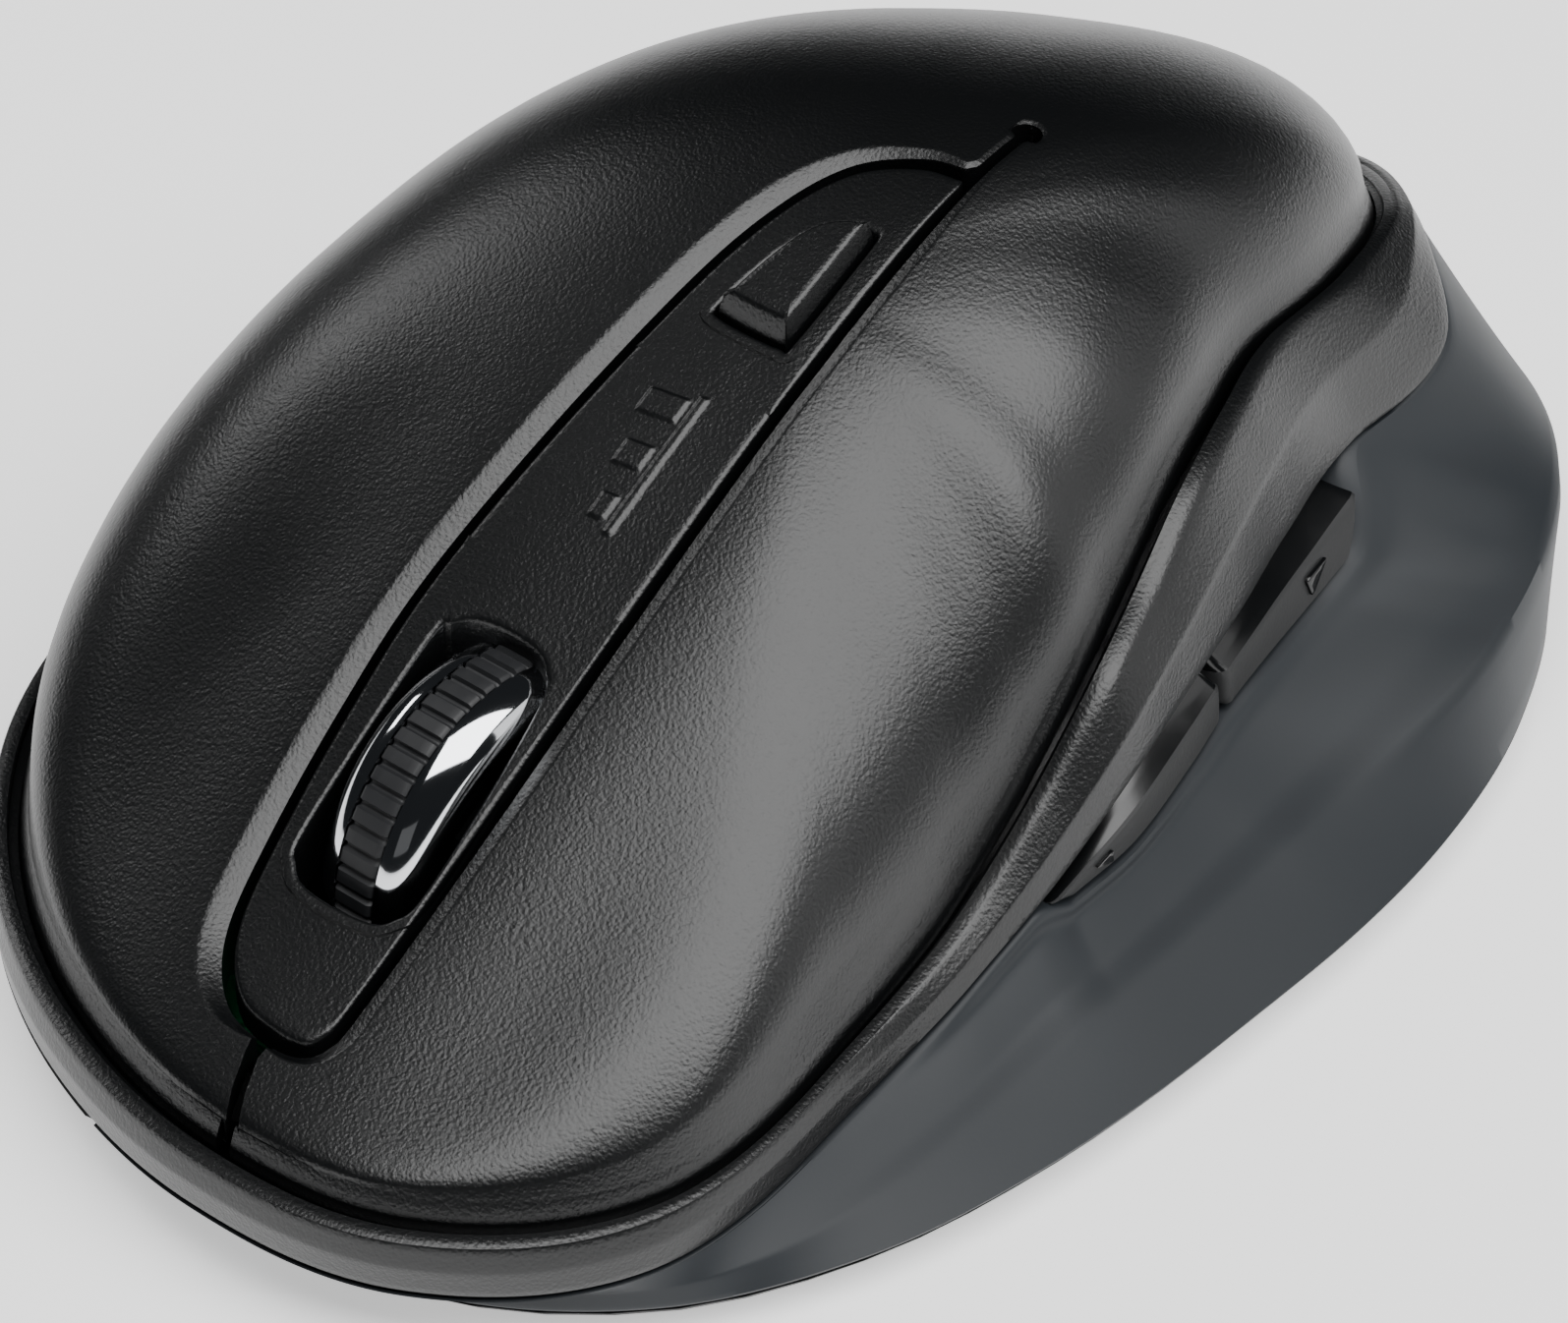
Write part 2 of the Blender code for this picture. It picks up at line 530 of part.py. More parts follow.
half_tyre = TYRE_WIDTH / 2
turned("wheel_tyre", [(9.6, half_tyre), (WHEEL_RADIUS - 0.25, half_tyre), (WHEEL_RADIUS, half_tyre - 0.3),
                      (WHEEL_RADIUS, 0.3 - half_tyre), (WHEEL_RADIUS - 0.25, -half_tyre), (9.6, -half_tyre),
                      (9.6, half_tyre)], WHEEL_CENTRE, "X", RUBBER, 48)
turned("wheel_hub", [(0, 8.2), (0.9, 8.2), (0.9, 3.6), (2.0, 3.6), (2.0, 1.0), (9.3, 1.0), (9.3, -1.0), (2.0, -1.0),
                     (2.0, -3.6), (0.9, -3.6), (0.9, -8.2), (0, -8.2)], WHEEL_CENTRE, "X", NYLON, 32)
for side, name in ((1, "wheel_rim_left"), (-1, "wheel_rim_right")):
    profile = [(9.2, 1.6), (WHEEL_RADIUS - 0.35, 1.6), (WHEEL_RADIUS - 0.7, 2.3), (9.2, RIM_WIDTH), (2.4, RIM_WIDTH),
               (2.4, RIM_WIDTH - 1.0), (8.6, RIM_WIDTH - 1.2), (8.8, 1.6), (9.2, 1.6)]
    # A profile at +X runs down its outer side, so the mirrored rim's runs the other way.
    points = [(radius, side * along) for radius, along in profile]
    turned(name, points[::-1] if side > 0 else points, WHEEL_CENTRE, "X", CHROME, 48)

cx, cy, cz = WHEEL_CENTRE
axle_hole = turned("axle_hole", [(0, 20), (1.05, 20), (1.05, -20), (0, -20)], WHEEL_CENTRE, "X", NYLON, 24, cutters)
CRADLE_PIVOT = (cx, -11.0, 10.0)
wheel_cradle = block("wheel_cradle", (11.4, 3.0, 7.0), (cx, -11.6, 10.0), NYLON)
for side in (-1, 1):
    arm = block(f"cradle_arm_{side}", (1.2, 18.0, 5.0), (cx + side * 5.1, -18.9, 11.5), NYLON, cutters)
    join(wheel_cradle, arm)
cut(wheel_cradle, axle_hole)
turned("cradle_pin", [(0, 7.6), (0.8, 7.6), (0.8, -7.6), (0, -7.6)], CRADLE_PIVOT, "X", STEEL, 20)
cut(wheel_cradle, turned("pin_hole", [(0, 20), (0.86, 20), (0.86, -20), (0, -20)], CRADLE_PIVOT, "X", NYLON, 20,
                         cutters))
scroll_encoder = block("scroll_encoder", (3.0, 9.0, 9.2), (cx + 8.6, cy, 10.9), CHIP)
cut(scroll_encoder, turned("encoder_hole", [(0, 20), (1.6, 20), (1.6, -20), (0, -20)], WHEEL_CENTRE, "X", NYLON, 20,
                           cutters))

# ---------------------------------------------------------------- boards and switches

board_outline = [(-13, -40), (14, -40), (24, -31), (26, -24), (26, 14), (11.4, 14), (11.4, -9.6), (-24, -9.6),
                 (-27, -26)]
circuit_board = prism("circuit_board", board_outline, BOARD_LOW, BOARD_TOP, BOARD, model)
wheel_notch = [(cx - 4.1, -36.5), (cx + 4.1, -36.5), (cx + 4.1, -14.2), (cx - 4.1, -14.2)]
cut(circuit_board, prism("wheel_notch", wheel_notch, 0, 10))
for side, name in ((1, "left"), (-1, "right")):
    post_x = cx + side * 7.0
    post = block(f"pin_post_{name}", (1.6, 4.0, 10.0), (post_x, CRADLE_PIVOT[1], 7.0), SATIN, cutters)
    join(bottom_case, post)
    cut(circuit_board, block(f"post_notch_{name}", (2.4, 5.4, 10.0), (post_x, CRADLE_PIVOT[1] + 0.3, 7.0), SATIN,
                             cutters))
    switch_x = side * 14.5
    switch = block(f"{name}_switch", (5.8, 12.8, 5.4), (switch_x, -29.0, BOARD_TOP + 3.0), CHIP)
    plunger = block(f"{name}_plunger", (1.2, 2.6, 1.6), (switch_x, -33.0, BOARD_TOP + 5.6), CHIP, cutters)
    join(switch, plunger)
    screw_x = side * 20.0
    boss = turned(f"board_boss_{name}", [(0, 3.1), (2.2, 3.1), (2.2, 2.0), (0, 2.0)], (screw_x, -20, 0), "Z", SATIN, 20,
                  cutters)
    join(bottom_case, boss)
    bore = turned(f"board_bore_{name}", [(0, 9), (1.25, 9), (1.25, 2.55), (0, 2.55)], (screw_x, -20, 0), "Z", SATIN, 20,
                  cutters)
    cut(bottom_case, bore)
    cut(circuit_board, bore)
    turned(f"board_screw_{name}", [(0, 6.0), (1.6, 6.0), (2.0, 5.5), (2.0, 4.9), (0.9, 4.9), (0.9, 2.9), (0, 2.9)],
           (screw_x, -20, 0), "Z", STEEL, 20)
cut(bottom_case, turned("pin_seat", [(0, 20), (1.1, 20), (1.1, -20), (0, -20)], CRADLE_PIVOT, "X", NYLON, 20, cutters))

wheel_switch = block("wheel_switch", (4.0, 4.0, 3.0), (cx - 5.1, cy, BOARD_TOP + 1.8), CHIP)
join(wheel_switch, block("wheel_plunger", (1.6, 1.6, 0.6), (cx - 5.1, cy, BOARD_TOP + 3.4), CHIP, cutters))

key_board_low = key_under - 2.6 - 0.6 - 2.2 - 1.3
key_board = block("dpi_board", (8.0, 18.0, 1.0), (1.2, 0.5, key_board_low + 0.5), BOARD)
block("dpi_switch", (4.5, 4.5, 2.2), (*KEY_MIDDLE, key_board_low + 1.3 + 1.1), CHIP, bevel=0.2)
for number, (x, y) in enumerate(((1.0, -7.0), (1.6, 8.0)), 1):
    top = dome_height(x, y) - 0.9
    low = key_board_low + 1.3
    join(centre_bezel, turned(f"key_post_{number}", [(0, top), (1.4, top), (1.4, low), (0, low)], (x, y, 0), "Z", NYLON,
                              16, cutters))

SENSOR = (17.0, -3.0)
block("optical_sensor", (9.0, 7.5, 2.2), (*SENSOR, BOARD_TOP + 1.4), CHIP, bevel=0.2)
sensor_lens = block("sensor_lens", (8.0, 7.0, 0.5), (*SENSOR, 2.85), CLEAR)
sensor_hole = turned("sensor_hole", [(0, 9), (3.2, 9), (3.2, -9), (0, -9)], (*SENSOR, 0), "Z", NYLON, 24, cutters)
cut(bottom_case, sensor_hole)
cut(circuit_board, turned("lens_hole", [(0, 9), (2.0, 9), (2.0, -9), (0, -9)], (*SENSOR, 0), "Z", NYLON, 24, cutters))

# ---------------------------------------------------------------- battery, receiver and power switch

bx, by, bz = BATTERY_CENTRE
half = BATTERY_LENGTH / 2
turned("battery", [(0, half), (2.6, half), (2.6, half - 1.2), (BATTERY_RADIUS, half - 1.4), (BATTERY_RADIUS, -half),
                   (0, -half)], BATTERY_CENTRE, "Y", CELL, 32)
block("battery_contact_plus", (8.0, 0.4, 8.0), (bx, by + half + 0.6, bz), STEEL)
block("battery_contact_minus", (9.0, 0.4, 9.0), (bx, by - half - 3.2, bz), STEEL)
coil = bpy.data.curves.new("battery_spring", "CURVE")
coil.dimensions = "3D"
coil.bevel_depth = 0.35 * MM
coil.bevel_resolution = 2
coil.use_fill_caps = True
line = coil.splines.new("POLY")
turns, points = 2.5, 30
line.points.add(points - 1)
for i, point in enumerate(line.points):
    turn = 2 * math.pi * turns * i / (points - 1)
    radius = 3.4 - 1.4 * i / (points - 1)
    point.co = ((bx + radius * math.cos(turn)) * MM, (by - half - 2.4 + 1.9 * i / (points - 1)) * MM,
                (bz + radius * math.sin(turn)) * MM, 1)
battery_spring = bpy.data.objects.new("battery_spring", coil)
store(battery_spring, STEEL, model)


def trough(along):
    """The cut face of the battery tray: an arch over the cell, open towards the battery door."""
    arcs = []
    for radius, steps in ((BATTERY_RADIUS + 0.5, range(13)), (BATTERY_RADIUS + 1.7, range(12, -1, -1))):
        for i in steps:
            turn = math.radians(-25 + 230 * i / 12)
            arcs.append(Vector((bx + radius * math.cos(turn), along, bz + radius * math.sin(turn))) * MM)
    return arcs


tray_ends = [trough(by - half + 1.5), trough(by + half - 8.0)]
battery_tray = loft("battery_tray", [list(pair) for pair in zip(*tray_ends)], NYLON, turn=False)

DOOR = (bx, 19.5)
door_size = (16.6, 52.4)
block("battery_door", (*door_size, 1.3), (*DOOR, FLOOR_LOW + 0.65), SATIN)
cut(bottom_case, block("door_opening", (door_size[0] + 0.6, door_size[1] + 0.6, 8.0), (*DOOR, FLOOR_LOW), SATIN,
                       cutters))

RECEIVER = (-18.0, 12.0)
pocket = block("receiver_pocket", (8.6, 17.0, 17.5), (*RECEIVER, 10.8), SATIN, cutters)
join(bottom_case, pocket)
cut(bottom_case, block("receiver_opening", (7.0, 15.2, 24.0), (*RECEIVER, 6.4), SATIN, cutters))
block("receiver_cap", (6.2, 14.4, 5.0), (*RECEIVER, FLOOR_LOW + 0.1 + 2.5), SATIN, bevel=0.4)
block("receiver_plug", (4.5, 12.0, 11.4), (*RECEIVER, FLOOR_LOW + 0.1 + 5.3 + 5.7), STEEL)

POWER = (-15.0, -17.0)
power_slider = block("power_slider", (2.8, 4.2, 1.9), (*POWER, FLOOR_LOW + 0.15 + 0.95), SATIN)
join(power_slider, block("slider_flange", (5.4, 7.6, 0.5), (POWER[0], POWER[1], 2.85), SATIN, cutters))
cut(bottom_case, block("slider_slot", (3.5, 7.4, 8.0), (POWER[0], POWER[1] + 1.25, FLOOR_LOW), SATIN, cutters))
block("power_switch", (4.0, 8.5, 2.4), (POWER[0], POWER[1], BOARD_TOP + 1.5), CHIP)

# ---------------------------------------------------------------- wheel well, screws and feet

cut(bottom_case, block("wheel_well", (8.0, 15.0, 4.0), (cx, cy, FLOOR_LOW + 0.5 + 2.0), SATIN, cutters))
for number, (x, y) in enumerate(((-20.0, 30.0), (14.5, 21.0)), 1):
    rim = [(x + 2.8 * math.cos(turn), y + 2.8 * math.sin(turn)) for turn in np.linspace(0, 2 * math.pi, 8)]
    boss_top = min(dome_height(*corner) for corner in rim) - 0.5
    boss = turned(f"case_boss_{number}", [(0, boss_top), (2.8, boss_top), (2.8, 11.0), (0, 11.0)], (x, y, 0), "Z",
                  GRAINED, 20, cutters)
    join(covers["palm_cover"], boss)
    bore = turned(f"case_bore_{number}", [(0, 17), (1.25, 17), (1.25, -9), (0, -9)], (x, y, 0), "Z", STEEL, 20, cutters)
    sink = turned(f"case_sink_{number}", [(0, 1.75), (2.6, 1.75), (2.6, -9), (0, -9)], (x, y, 0), "Z", STEEL, 20,
                  cutters)
    cut(covers["palm_cover"], bore)
    cut(bottom_case, bore, sink)
    turned(f"case_screw_{number}", [(0, 16.0), (0.95, 15.6), (0.95, 1.45), (2.1, 1.45), (2.1, 0.85), (0, 0.85)],
           (x, y, 0), "Z", STEEL, 20)


def foot_section(degrees):
    radius = ring_at(WAIST, degrees)[0]
    return [(radius - 4.5, 0.5), (radius - 4.5, 0.0), (radius - 10.5, 0.0), (radius - 10.5, 0.5)]


ring_shell("glide_foot_front", foot_section, PTFE, start=-116.0, end=-62.0)
ring_shell("glide_foot_left", foot_section, PTFE, start=28.0, end=58.0)
ring_shell("glide_foot_right", foot_section, PTFE, start=134.0, end=166.0)
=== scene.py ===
"""A right-handed wireless mouse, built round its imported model.

Lengths in this file are millimetres until MM turns them into metres. +Z is up, the buttons point to -Y and the
thumb side is +X. The outer form is a set of closed rings round one upright axis, given as (degrees, radius,
height), where -90 degrees is the front and 0 is the thumb side.
"""

import math

import bmesh
import bpy
import numpy as np
from mathutils import Matrix, Vector


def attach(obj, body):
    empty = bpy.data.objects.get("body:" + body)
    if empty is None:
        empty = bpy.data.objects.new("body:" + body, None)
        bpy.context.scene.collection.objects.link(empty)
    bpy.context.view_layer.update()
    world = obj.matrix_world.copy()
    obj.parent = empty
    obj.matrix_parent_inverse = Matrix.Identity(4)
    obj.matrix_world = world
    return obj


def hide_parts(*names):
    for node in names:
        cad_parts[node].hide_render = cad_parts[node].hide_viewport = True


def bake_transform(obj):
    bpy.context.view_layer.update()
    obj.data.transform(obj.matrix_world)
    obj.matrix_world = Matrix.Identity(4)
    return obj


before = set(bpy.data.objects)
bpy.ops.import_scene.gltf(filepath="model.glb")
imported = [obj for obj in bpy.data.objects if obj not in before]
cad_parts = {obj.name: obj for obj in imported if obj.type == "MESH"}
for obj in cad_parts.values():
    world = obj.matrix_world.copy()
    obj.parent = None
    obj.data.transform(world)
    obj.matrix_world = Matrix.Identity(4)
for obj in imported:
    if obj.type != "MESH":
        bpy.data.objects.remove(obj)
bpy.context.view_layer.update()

MM = 0.001

# ---------------------------------------------------------------- camera, floor and light
# A product shot on a lit pale table: one long-lens camera, a wide soft box overhead on the thumb side, a narrow one
# on the far side, and weak cards beside and in front.


def linear(code):
    """A linear colour from an sRGB hex value."""
    parts = [int(code[i:i + 2], 16) / 255 for i in (1, 3, 5)]
    return tuple(c / 12.92 if c <= 0.04045 else ((c + 0.055) / 1.055) ** 2.4 for c in parts)


def new_material(name, hex_colour, **settings):
    """A material with its Principled shader's plain values set on the shader itself."""
    mat = bpy.data.materials.new(name)
    mat.use_nodes = True
    shader = mat.node_tree.nodes["Principled BSDF"]
    shader.inputs["Base Color"].default_value = (*linear(hex_colour), 1)
    for key, value in settings.items():
        shader.inputs[key.replace("_", " ")].default_value = value
    return mat, mat.node_tree, shader


def aim(obj, target):
    """Turns an object's -Z axis towards a place."""
    obj.rotation_euler = (Vector(target) - obj.location).to_track_quat("-Z", "Y").to_euler()


CAMERA_AZIMUTH, CAMERA_ELEVATION, CAMERA_DISTANCE = math.radians(40), math.radians(40), 380.0
CAMERA_TARGET = Vector((5.8, -5.7, 15.0))
away = Vector((math.sin(CAMERA_AZIMUTH) * math.cos(CAMERA_ELEVATION),
               -math.cos(CAMERA_AZIMUTH) * math.cos(CAMERA_ELEVATION), math.sin(CAMERA_ELEVATION)))
camera = bpy.data.objects.new("camera", bpy.data.cameras.new("camera"))
camera.data.lens = 154.4
camera.data.sensor_width = 36.0
camera.data.clip_start = 0.01
camera.location = (CAMERA_TARGET + away * CAMERA_DISTANCE) * MM
aim(camera, CAMERA_TARGET * MM)
bpy.context.scene.collection.objects.link(camera)
bpy.context.scene.camera = camera

FLOOR_HALF = 1.5  # metres
FLOOR_GAP = 0.05  # just clear of the glide feet's faces
floor_mesh = bpy.data.meshes.new("floor")
floor_mesh.from_pydata([(-FLOOR_HALF, -FLOOR_HALF, 0), (FLOOR_HALF, -FLOOR_HALF, 0), (FLOOR_HALF, FLOOR_HALF, 0),
                        (-FLOOR_HALF, FLOOR_HALF, 0)], [], [(0, 1, 2, 3)])
floor = bpy.data.objects.new("floor", floor_mesh)
bpy.context.scene.collection.objects.link(floor)
floor.location.z = -FLOOR_GAP * MM
# Opal acrylic lit from below: an even, nearly shadowless white that is bright under the object's edges too.
lit_acrylic, tree, shader = new_material("lit_white_acrylic", "#f4f4f4", Roughness=0.9, Emission_Strength=0.7)
shader.inputs["Emission Color"].default_value = (1, 1, 1, 1)
floor_mesh.materials.append(lit_acrylic)

# (name, place, target, width, height, turn about its own axis, watts), in metres and degrees
SOFT_BOXES = [
    ("overhead_box", (0.33, -0.05, 0.78), (0.0, -0.02, 0.02), 1.3, 0.58, -53.0, 14.5),
    ("left_strip_box", (-0.76, 0.02, 0.52), (0.0, -0.02, 0.02), 0.3, 0.16, 0.0, 0.95),
    ("side_card", (0.80, 0.60, 0.34), (0.0, -0.02, 0.02), 0.6, 0.45, 0.0, 1.1),
    ("front_fill", (0.35, -0.90, 0.32), (0.0, 0.0, 0.02), 0.6, 0.3, 0.0, 0.06),
]
for name, place, target, width, height, turn, watts in SOFT_BOXES:
    lamp = bpy.data.lights.new(name, "AREA")
    lamp.shape = "RECTANGLE"
    lamp.size = width
    lamp.size_y = height
    lamp.energy = watts
    holder = bpy.data.objects.new(name, lamp)
    holder.location = place
    aim(holder, target)
    holder.rotation_euler = (holder.rotation_euler.to_matrix() @ Matrix.Rotation(math.radians(turn), 3, "Z")).to_euler()
    bpy.context.scene.collection.objects.link(holder)

world = bpy.data.worlds.new("studio")
bpy.context.scene.world = world
world.use_nodes = True
world.node_tree.nodes["Background"].inputs["Color"].default_value = (*linear("#8f959b"), 1)
world.node_tree.nodes["Background"].inputs["Strength"].default_value = 0.06

# ---------------------------------------------------------------- cover
# The real cover is one black ABS moulding with a fine leather grain. Two slits turn its front into the two
# buttons, which bend where they leave the palm. Its lower border is a smooth facet with no grain.

AXIS_X, AXIS_Y = 2.8, -0.7
# Where the trim meets the cover, as (degrees, radius, height).
TRIM_TOP = [
    (-90, 50.8, 8.5), (-75, 50.2, 8.5), (-60, 44.6, 8.7), (-45, 32.7, 9.8), (-30, 26.4, 12.2), (-15, 23.4, 16.4),
    (0, 22.2, 20.9), (15, 21.6, 23.2), (30, 22.5, 26.0), (45, 24.9, 27.2), (57, 28.8, 27.4), (66, 35.8, 26.6),
    (75, 43.0, 25.0), (88, 48.0, 20.8), (105, 47.9, 15.2), (120, 46.0, 12.0), (150, 41.3, 9.0), (165, 39.4, 8.4),
    (180, 38.9, 8.2), (195, 40.2, 8.2), (210, 42.7, 8.2), (225, 45.7, 8.2), (240, 48.0, 8.2), (255, 49.7, 8.3),
]
# How full the dome is towards each side, as (degrees, outer power, inner power).
FULLNESS = [
    (-90, 2.3, 2.1), (-60, 2.3, 2.1), (-30, 2.3, 1.8), (0, 2.3, 1.6), (30, 2.2, 1.5), (60, 2.2, 1.5),
    (75, 2.1, 1.65), (90, 2.05, 1.85), (120, 2.2, 2.05), (150, 2.5, 2.35), (180, 3.0, 3.0), (210, 3.6, 3.4),
    (225, 3.4, 3.2), (240, 3.0, 2.7),
]
# The crest: level at the rear, then a straight slope to the front, with a soft turn between them.
CROWN_HEIGHT, CROWN_SLOPE, CROWN_START, CROWN_SOFT = 42.6, 0.47, 13.2, 5.0
# The two shallow finger channels along the buttons, which fade out behind CHANNEL_END.
CHANNELS_X, CHANNEL_WIDTH, CHANNEL_DEPTH, CHANNEL_END, CHANNEL_FADE = (-15.0, 15.5), 7.0, 0.9, -14.0, 5
FACET_WIDTH, FACET_RISE = 2.3, 1.3  # the smooth border


def ring_at(table, degrees):
    """Radii and heights of a ring at some angles, by a smooth closed curve through its table."""
    rows = np.array(table, float)
    angles = np.concatenate([rows[-2:, 0] - 360, rows[:, 0], rows[:3, 0] + 360])
    values = np.concatenate([rows[-2:, 1:], rows[:, 1:], rows[:3, 1:]])
    degrees = (np.asarray(degrees, float) - rows[0, 0]) % 360 + rows[0, 0]
    k = np.clip(np.searchsorted(angles, degrees, side="right") - 1, 1, len(angles) - 3)
    a0, a1, a2, a3 = (angles[k + i][..., None] for i in (-1, 0, 1, 2))
    p0, p1, p2, p3 = (values[k + i] for i in (-1, 0, 1, 2))
    t = (degrees[..., None] - a1) / (a2 - a1)
    slope1 = (p2 - p0) / (a2 - a0) * (a2 - a1)
    slope2 = (p3 - p1) / (a3 - a1) * (a2 - a1)
    found = ((2 * t**3 - 3 * t**2 + 1) * p1 + (t**3 - 2 * t**2 + t) * slope1
             + (3 * t**2 - 2 * t**3) * p2 + (t**3 - t**2) * slope2)
    return found[..., 0], found[..., 1]


def dome_z(x, y):
    """Height of the cover over places inside its edge."""
    degrees = np.degrees(np.arctan2(y - AXIS_Y, x - AXIS_X))
    radius, low = ring_at(TRIM_TOP, degrees)
    share = np.clip(np.hypot(x - AXIS_X, y - AXIS_Y) / (radius - FACET_WIDTH), 0, 1)
    low = low + FACET_RISE
    outer, inner = ring_at(FULLNESS, degrees)
    crown = CROWN_HEIGHT - CROWN_SLOPE * CROWN_SOFT * np.log1p(np.exp((CROWN_START - y) / CROWN_SOFT))
    height = low + (crown - low) * np.clip(1 - share**outer, 0, 1) ** (1 / inner)
    reach = 1 / (1 + np.exp((y - CHANNEL_END) / CHANNEL_FADE))
    channels = sum(np.exp(-(((x - middle) / CHANNEL_WIDTH) ** 2)) for middle in CHANNELS_X)
    return height - CHANNEL_DEPTH * reach * channels * (1 - share**6)


def polar(radius, height, degrees):
    """Points in mm at radii, heights and angles round the upright axis."""
    turn = np.radians(degrees)
    return np.stack([AXIS_X + radius * np.cos(turn), AXIS_Y + radius * np.sin(turn), height + 0 * turn], -1)


def plate(name, top, under, mat, ends=(True, True), loop=False, sharp=38.0):
    """A closed skin from two grids of points in mm: rows by columns, with walls between them.

    ends says whether the first and last rows are closed. loop joins the last row to the first.
    """
    rows, columns = top.shape[:2]
    points = np.concatenate([top.reshape(-1, 3), under.reshape(-1, 3)]) * MM
    faces = []

    def at(row, column, below):
        return (row % rows) * columns + column + below * rows * columns

    for i in range(rows if loop else rows - 1):
        for j in range(columns - 1):
            faces.append((at(i, j, 0), at(i, j + 1, 0), at(i + 1, j + 1, 0), at(i + 1, j, 0)))
            faces.append((at(i, j, 1), at(i + 1, j, 1), at(i + 1, j + 1, 1), at(i, j + 1, 1)))
        faces.append((at(i, 0, 0), at(i + 1, 0, 0), at(i + 1, 0, 1), at(i, 0, 1)))
        last = columns - 1
        faces.append((at(i, last, 0), at(i, last, 1), at(i + 1, last, 1), at(i + 1, last, 0)))
    if not loop:
        for row, wanted in ((0, ends[0]), (rows - 1, ends[1])):
            for j in range(columns - 1 if wanted else 0):
                faces.append((at(row, j, 0), at(row, j, 1), at(row, j + 1, 1), at(row, j + 1, 0)))
    return mesh_piece(name, points, faces, mat, sharp)


WELD = 0.002  # points closer than this are one


def mesh_piece(name, points, faces, mat, sharp=38.0):
    """A smooth-shaded mesh object with its normals facing out. Edges steeper than sharp degrees stay crisp."""
    mesh = bpy.data.meshes.new(name)
    mesh.from_pydata([tuple(p) for p in points], [], faces)
    made = bmesh.new()
    made.from_mesh(mesh)
    bmesh.ops.remove_doubles(made, verts=made.verts, dist=WELD * MM)
    bmesh.ops.recalc_face_normals(made, faces=made.faces)
    made.to_mesh(mesh)
    made.free()
    mesh.shade_smooth()
    mesh.set_sharp_from_angle(angle=math.radians(sharp))
    mesh.materials.append(mat)
    piece = bpy.data.objects.new(name, mesh)
    bpy.context.scene.collection.objects.link(piece)
    return piece


def add(tree, kind, settings=None, links=None):
    """Adds a node, with its settings and the outputs that its inputs read."""
    made = tree.nodes.new(kind)
    for key, value in (settings or {}).items():
        if isinstance(key, int) or key in made.inputs:
            made.inputs[key].default_value = value
        else:
            setattr(made, key, value)
    for key, output in (links or {}).items():
        tree.links.new(output, made.inputs[key])
    return made


PATCH_SIZE, PATCH_GLOSS = 9, 0.03  # how wide, in mm, and how strong the moulding's uneven gloss is


def grained_abs(name, hex_colour, roughness, grain, depth):
    """Moulded ABS with a spark-eroded grain. grain is its pebble size and depth its height, in mm."""
    mat, tree, shader = new_material(name, hex_colour, IOR=1.53)
    place = add(tree, "ShaderNodeTexCoord")
    pebbles = add(tree, "ShaderNodeTexVoronoi", {"Scale": 1 / (grain * MM), "feature": "SMOOTH_F1",
                                                 "Smoothness": 0.6}, {"Vector": place.outputs["Object"]})
    fine = add(tree, "ShaderNodeTexNoise", {"Scale": 1.6 / (grain * MM), "Detail": 2.0},
               {"Vector": place.outputs["Object"]})
    height = add(tree, "ShaderNodeMath", {"operation": "MULTIPLY_ADD", 1: -0.9},
                 {0: pebbles.outputs["Distance"], 2: fine.outputs["Fac"]})
    bump = add(tree, "ShaderNodeBump", {"Strength": 1.0, "Distance": depth * MM}, {"Height": height.outputs[0]})
    patches = add(tree, "ShaderNodeTexNoise", {"Scale": 1 / (PATCH_SIZE * MM), "Detail": 3.0},
                  {"Vector": place.outputs["Object"]})
    gloss = add(tree, "ShaderNodeMapRange", {"To Min": roughness - PATCH_GLOSS, "To Max": roughness + PATCH_GLOSS},
                {"Value": patches.outputs["Fac"]})
    tree.links.new(gloss.outputs["Result"], shader.inputs["Roughness"])
    tree.links.new(bump.outputs["Normal"], shader.inputs["Normal"])
    return mat


# ABS moulded in a spark-eroded tool: a deep black whose broad highlights break up into fine pebbles.
black_abs = grained_abs("black_abs_leather_grain", "#08090a", 0.32, 0.25, 0.018)

# The slot between the buttons, the line behind it where they bend, and the width of every gap in the cover.
SPLIT_X, FLEX_Y, GAP_WIDTH = 5.8, 12.0, 0.7
SLOT_END, KEYHOLE_Y, KEYHOLE_RADIUS = 14.9, 15.4, 0.95
# The centre strip's outline from its rear corner, round its left and front, to its front corner.
STRIP_EDGE = [
    (5.45, 10.4), (2.6, 9.8), (-0.6, 7.4), (-2.8, 2.0), (-4.3, -7.0), (-5.9, -21.0), (-5.6, -29.0),
    (-4.6, -36.0), (-3.2, -41.0), (-0.6, -43.7), (2.6, -44.3), (4.7, -44.0), (5.45, -42.8),
]
COVER_WALL, SKIRT_WALL = 1.6, 1.4


def span(p0, p1, p2, p3):
    """Points of a smooth curve from p1 to p2, given the corners before and after them."""
    t = np.linspace(0, 1, 40, endpoint=False)[:, None]
    return 0.5 * (2 * p1 + (p2 - p0) * t + (2 * p0 - 5 * p1 + 4 * p2 - p3) * t**2
                  + (3 * p1 - p0 - 3 * p2 + p3) * t**3)


def smooth_line(points, step):
    """Points every step mm along a smooth open curve through the given corners."""
    points = np.array(points, float)
    padded = np.vstack([2 * points[0] - points[1], points, 2 * points[-1] - points[-2]])
    fine = [span(*padded[i:i + 4]) for i in range(len(points) - 1)]
    return even_line(np.vstack(fine + [points[-1:]]), step)


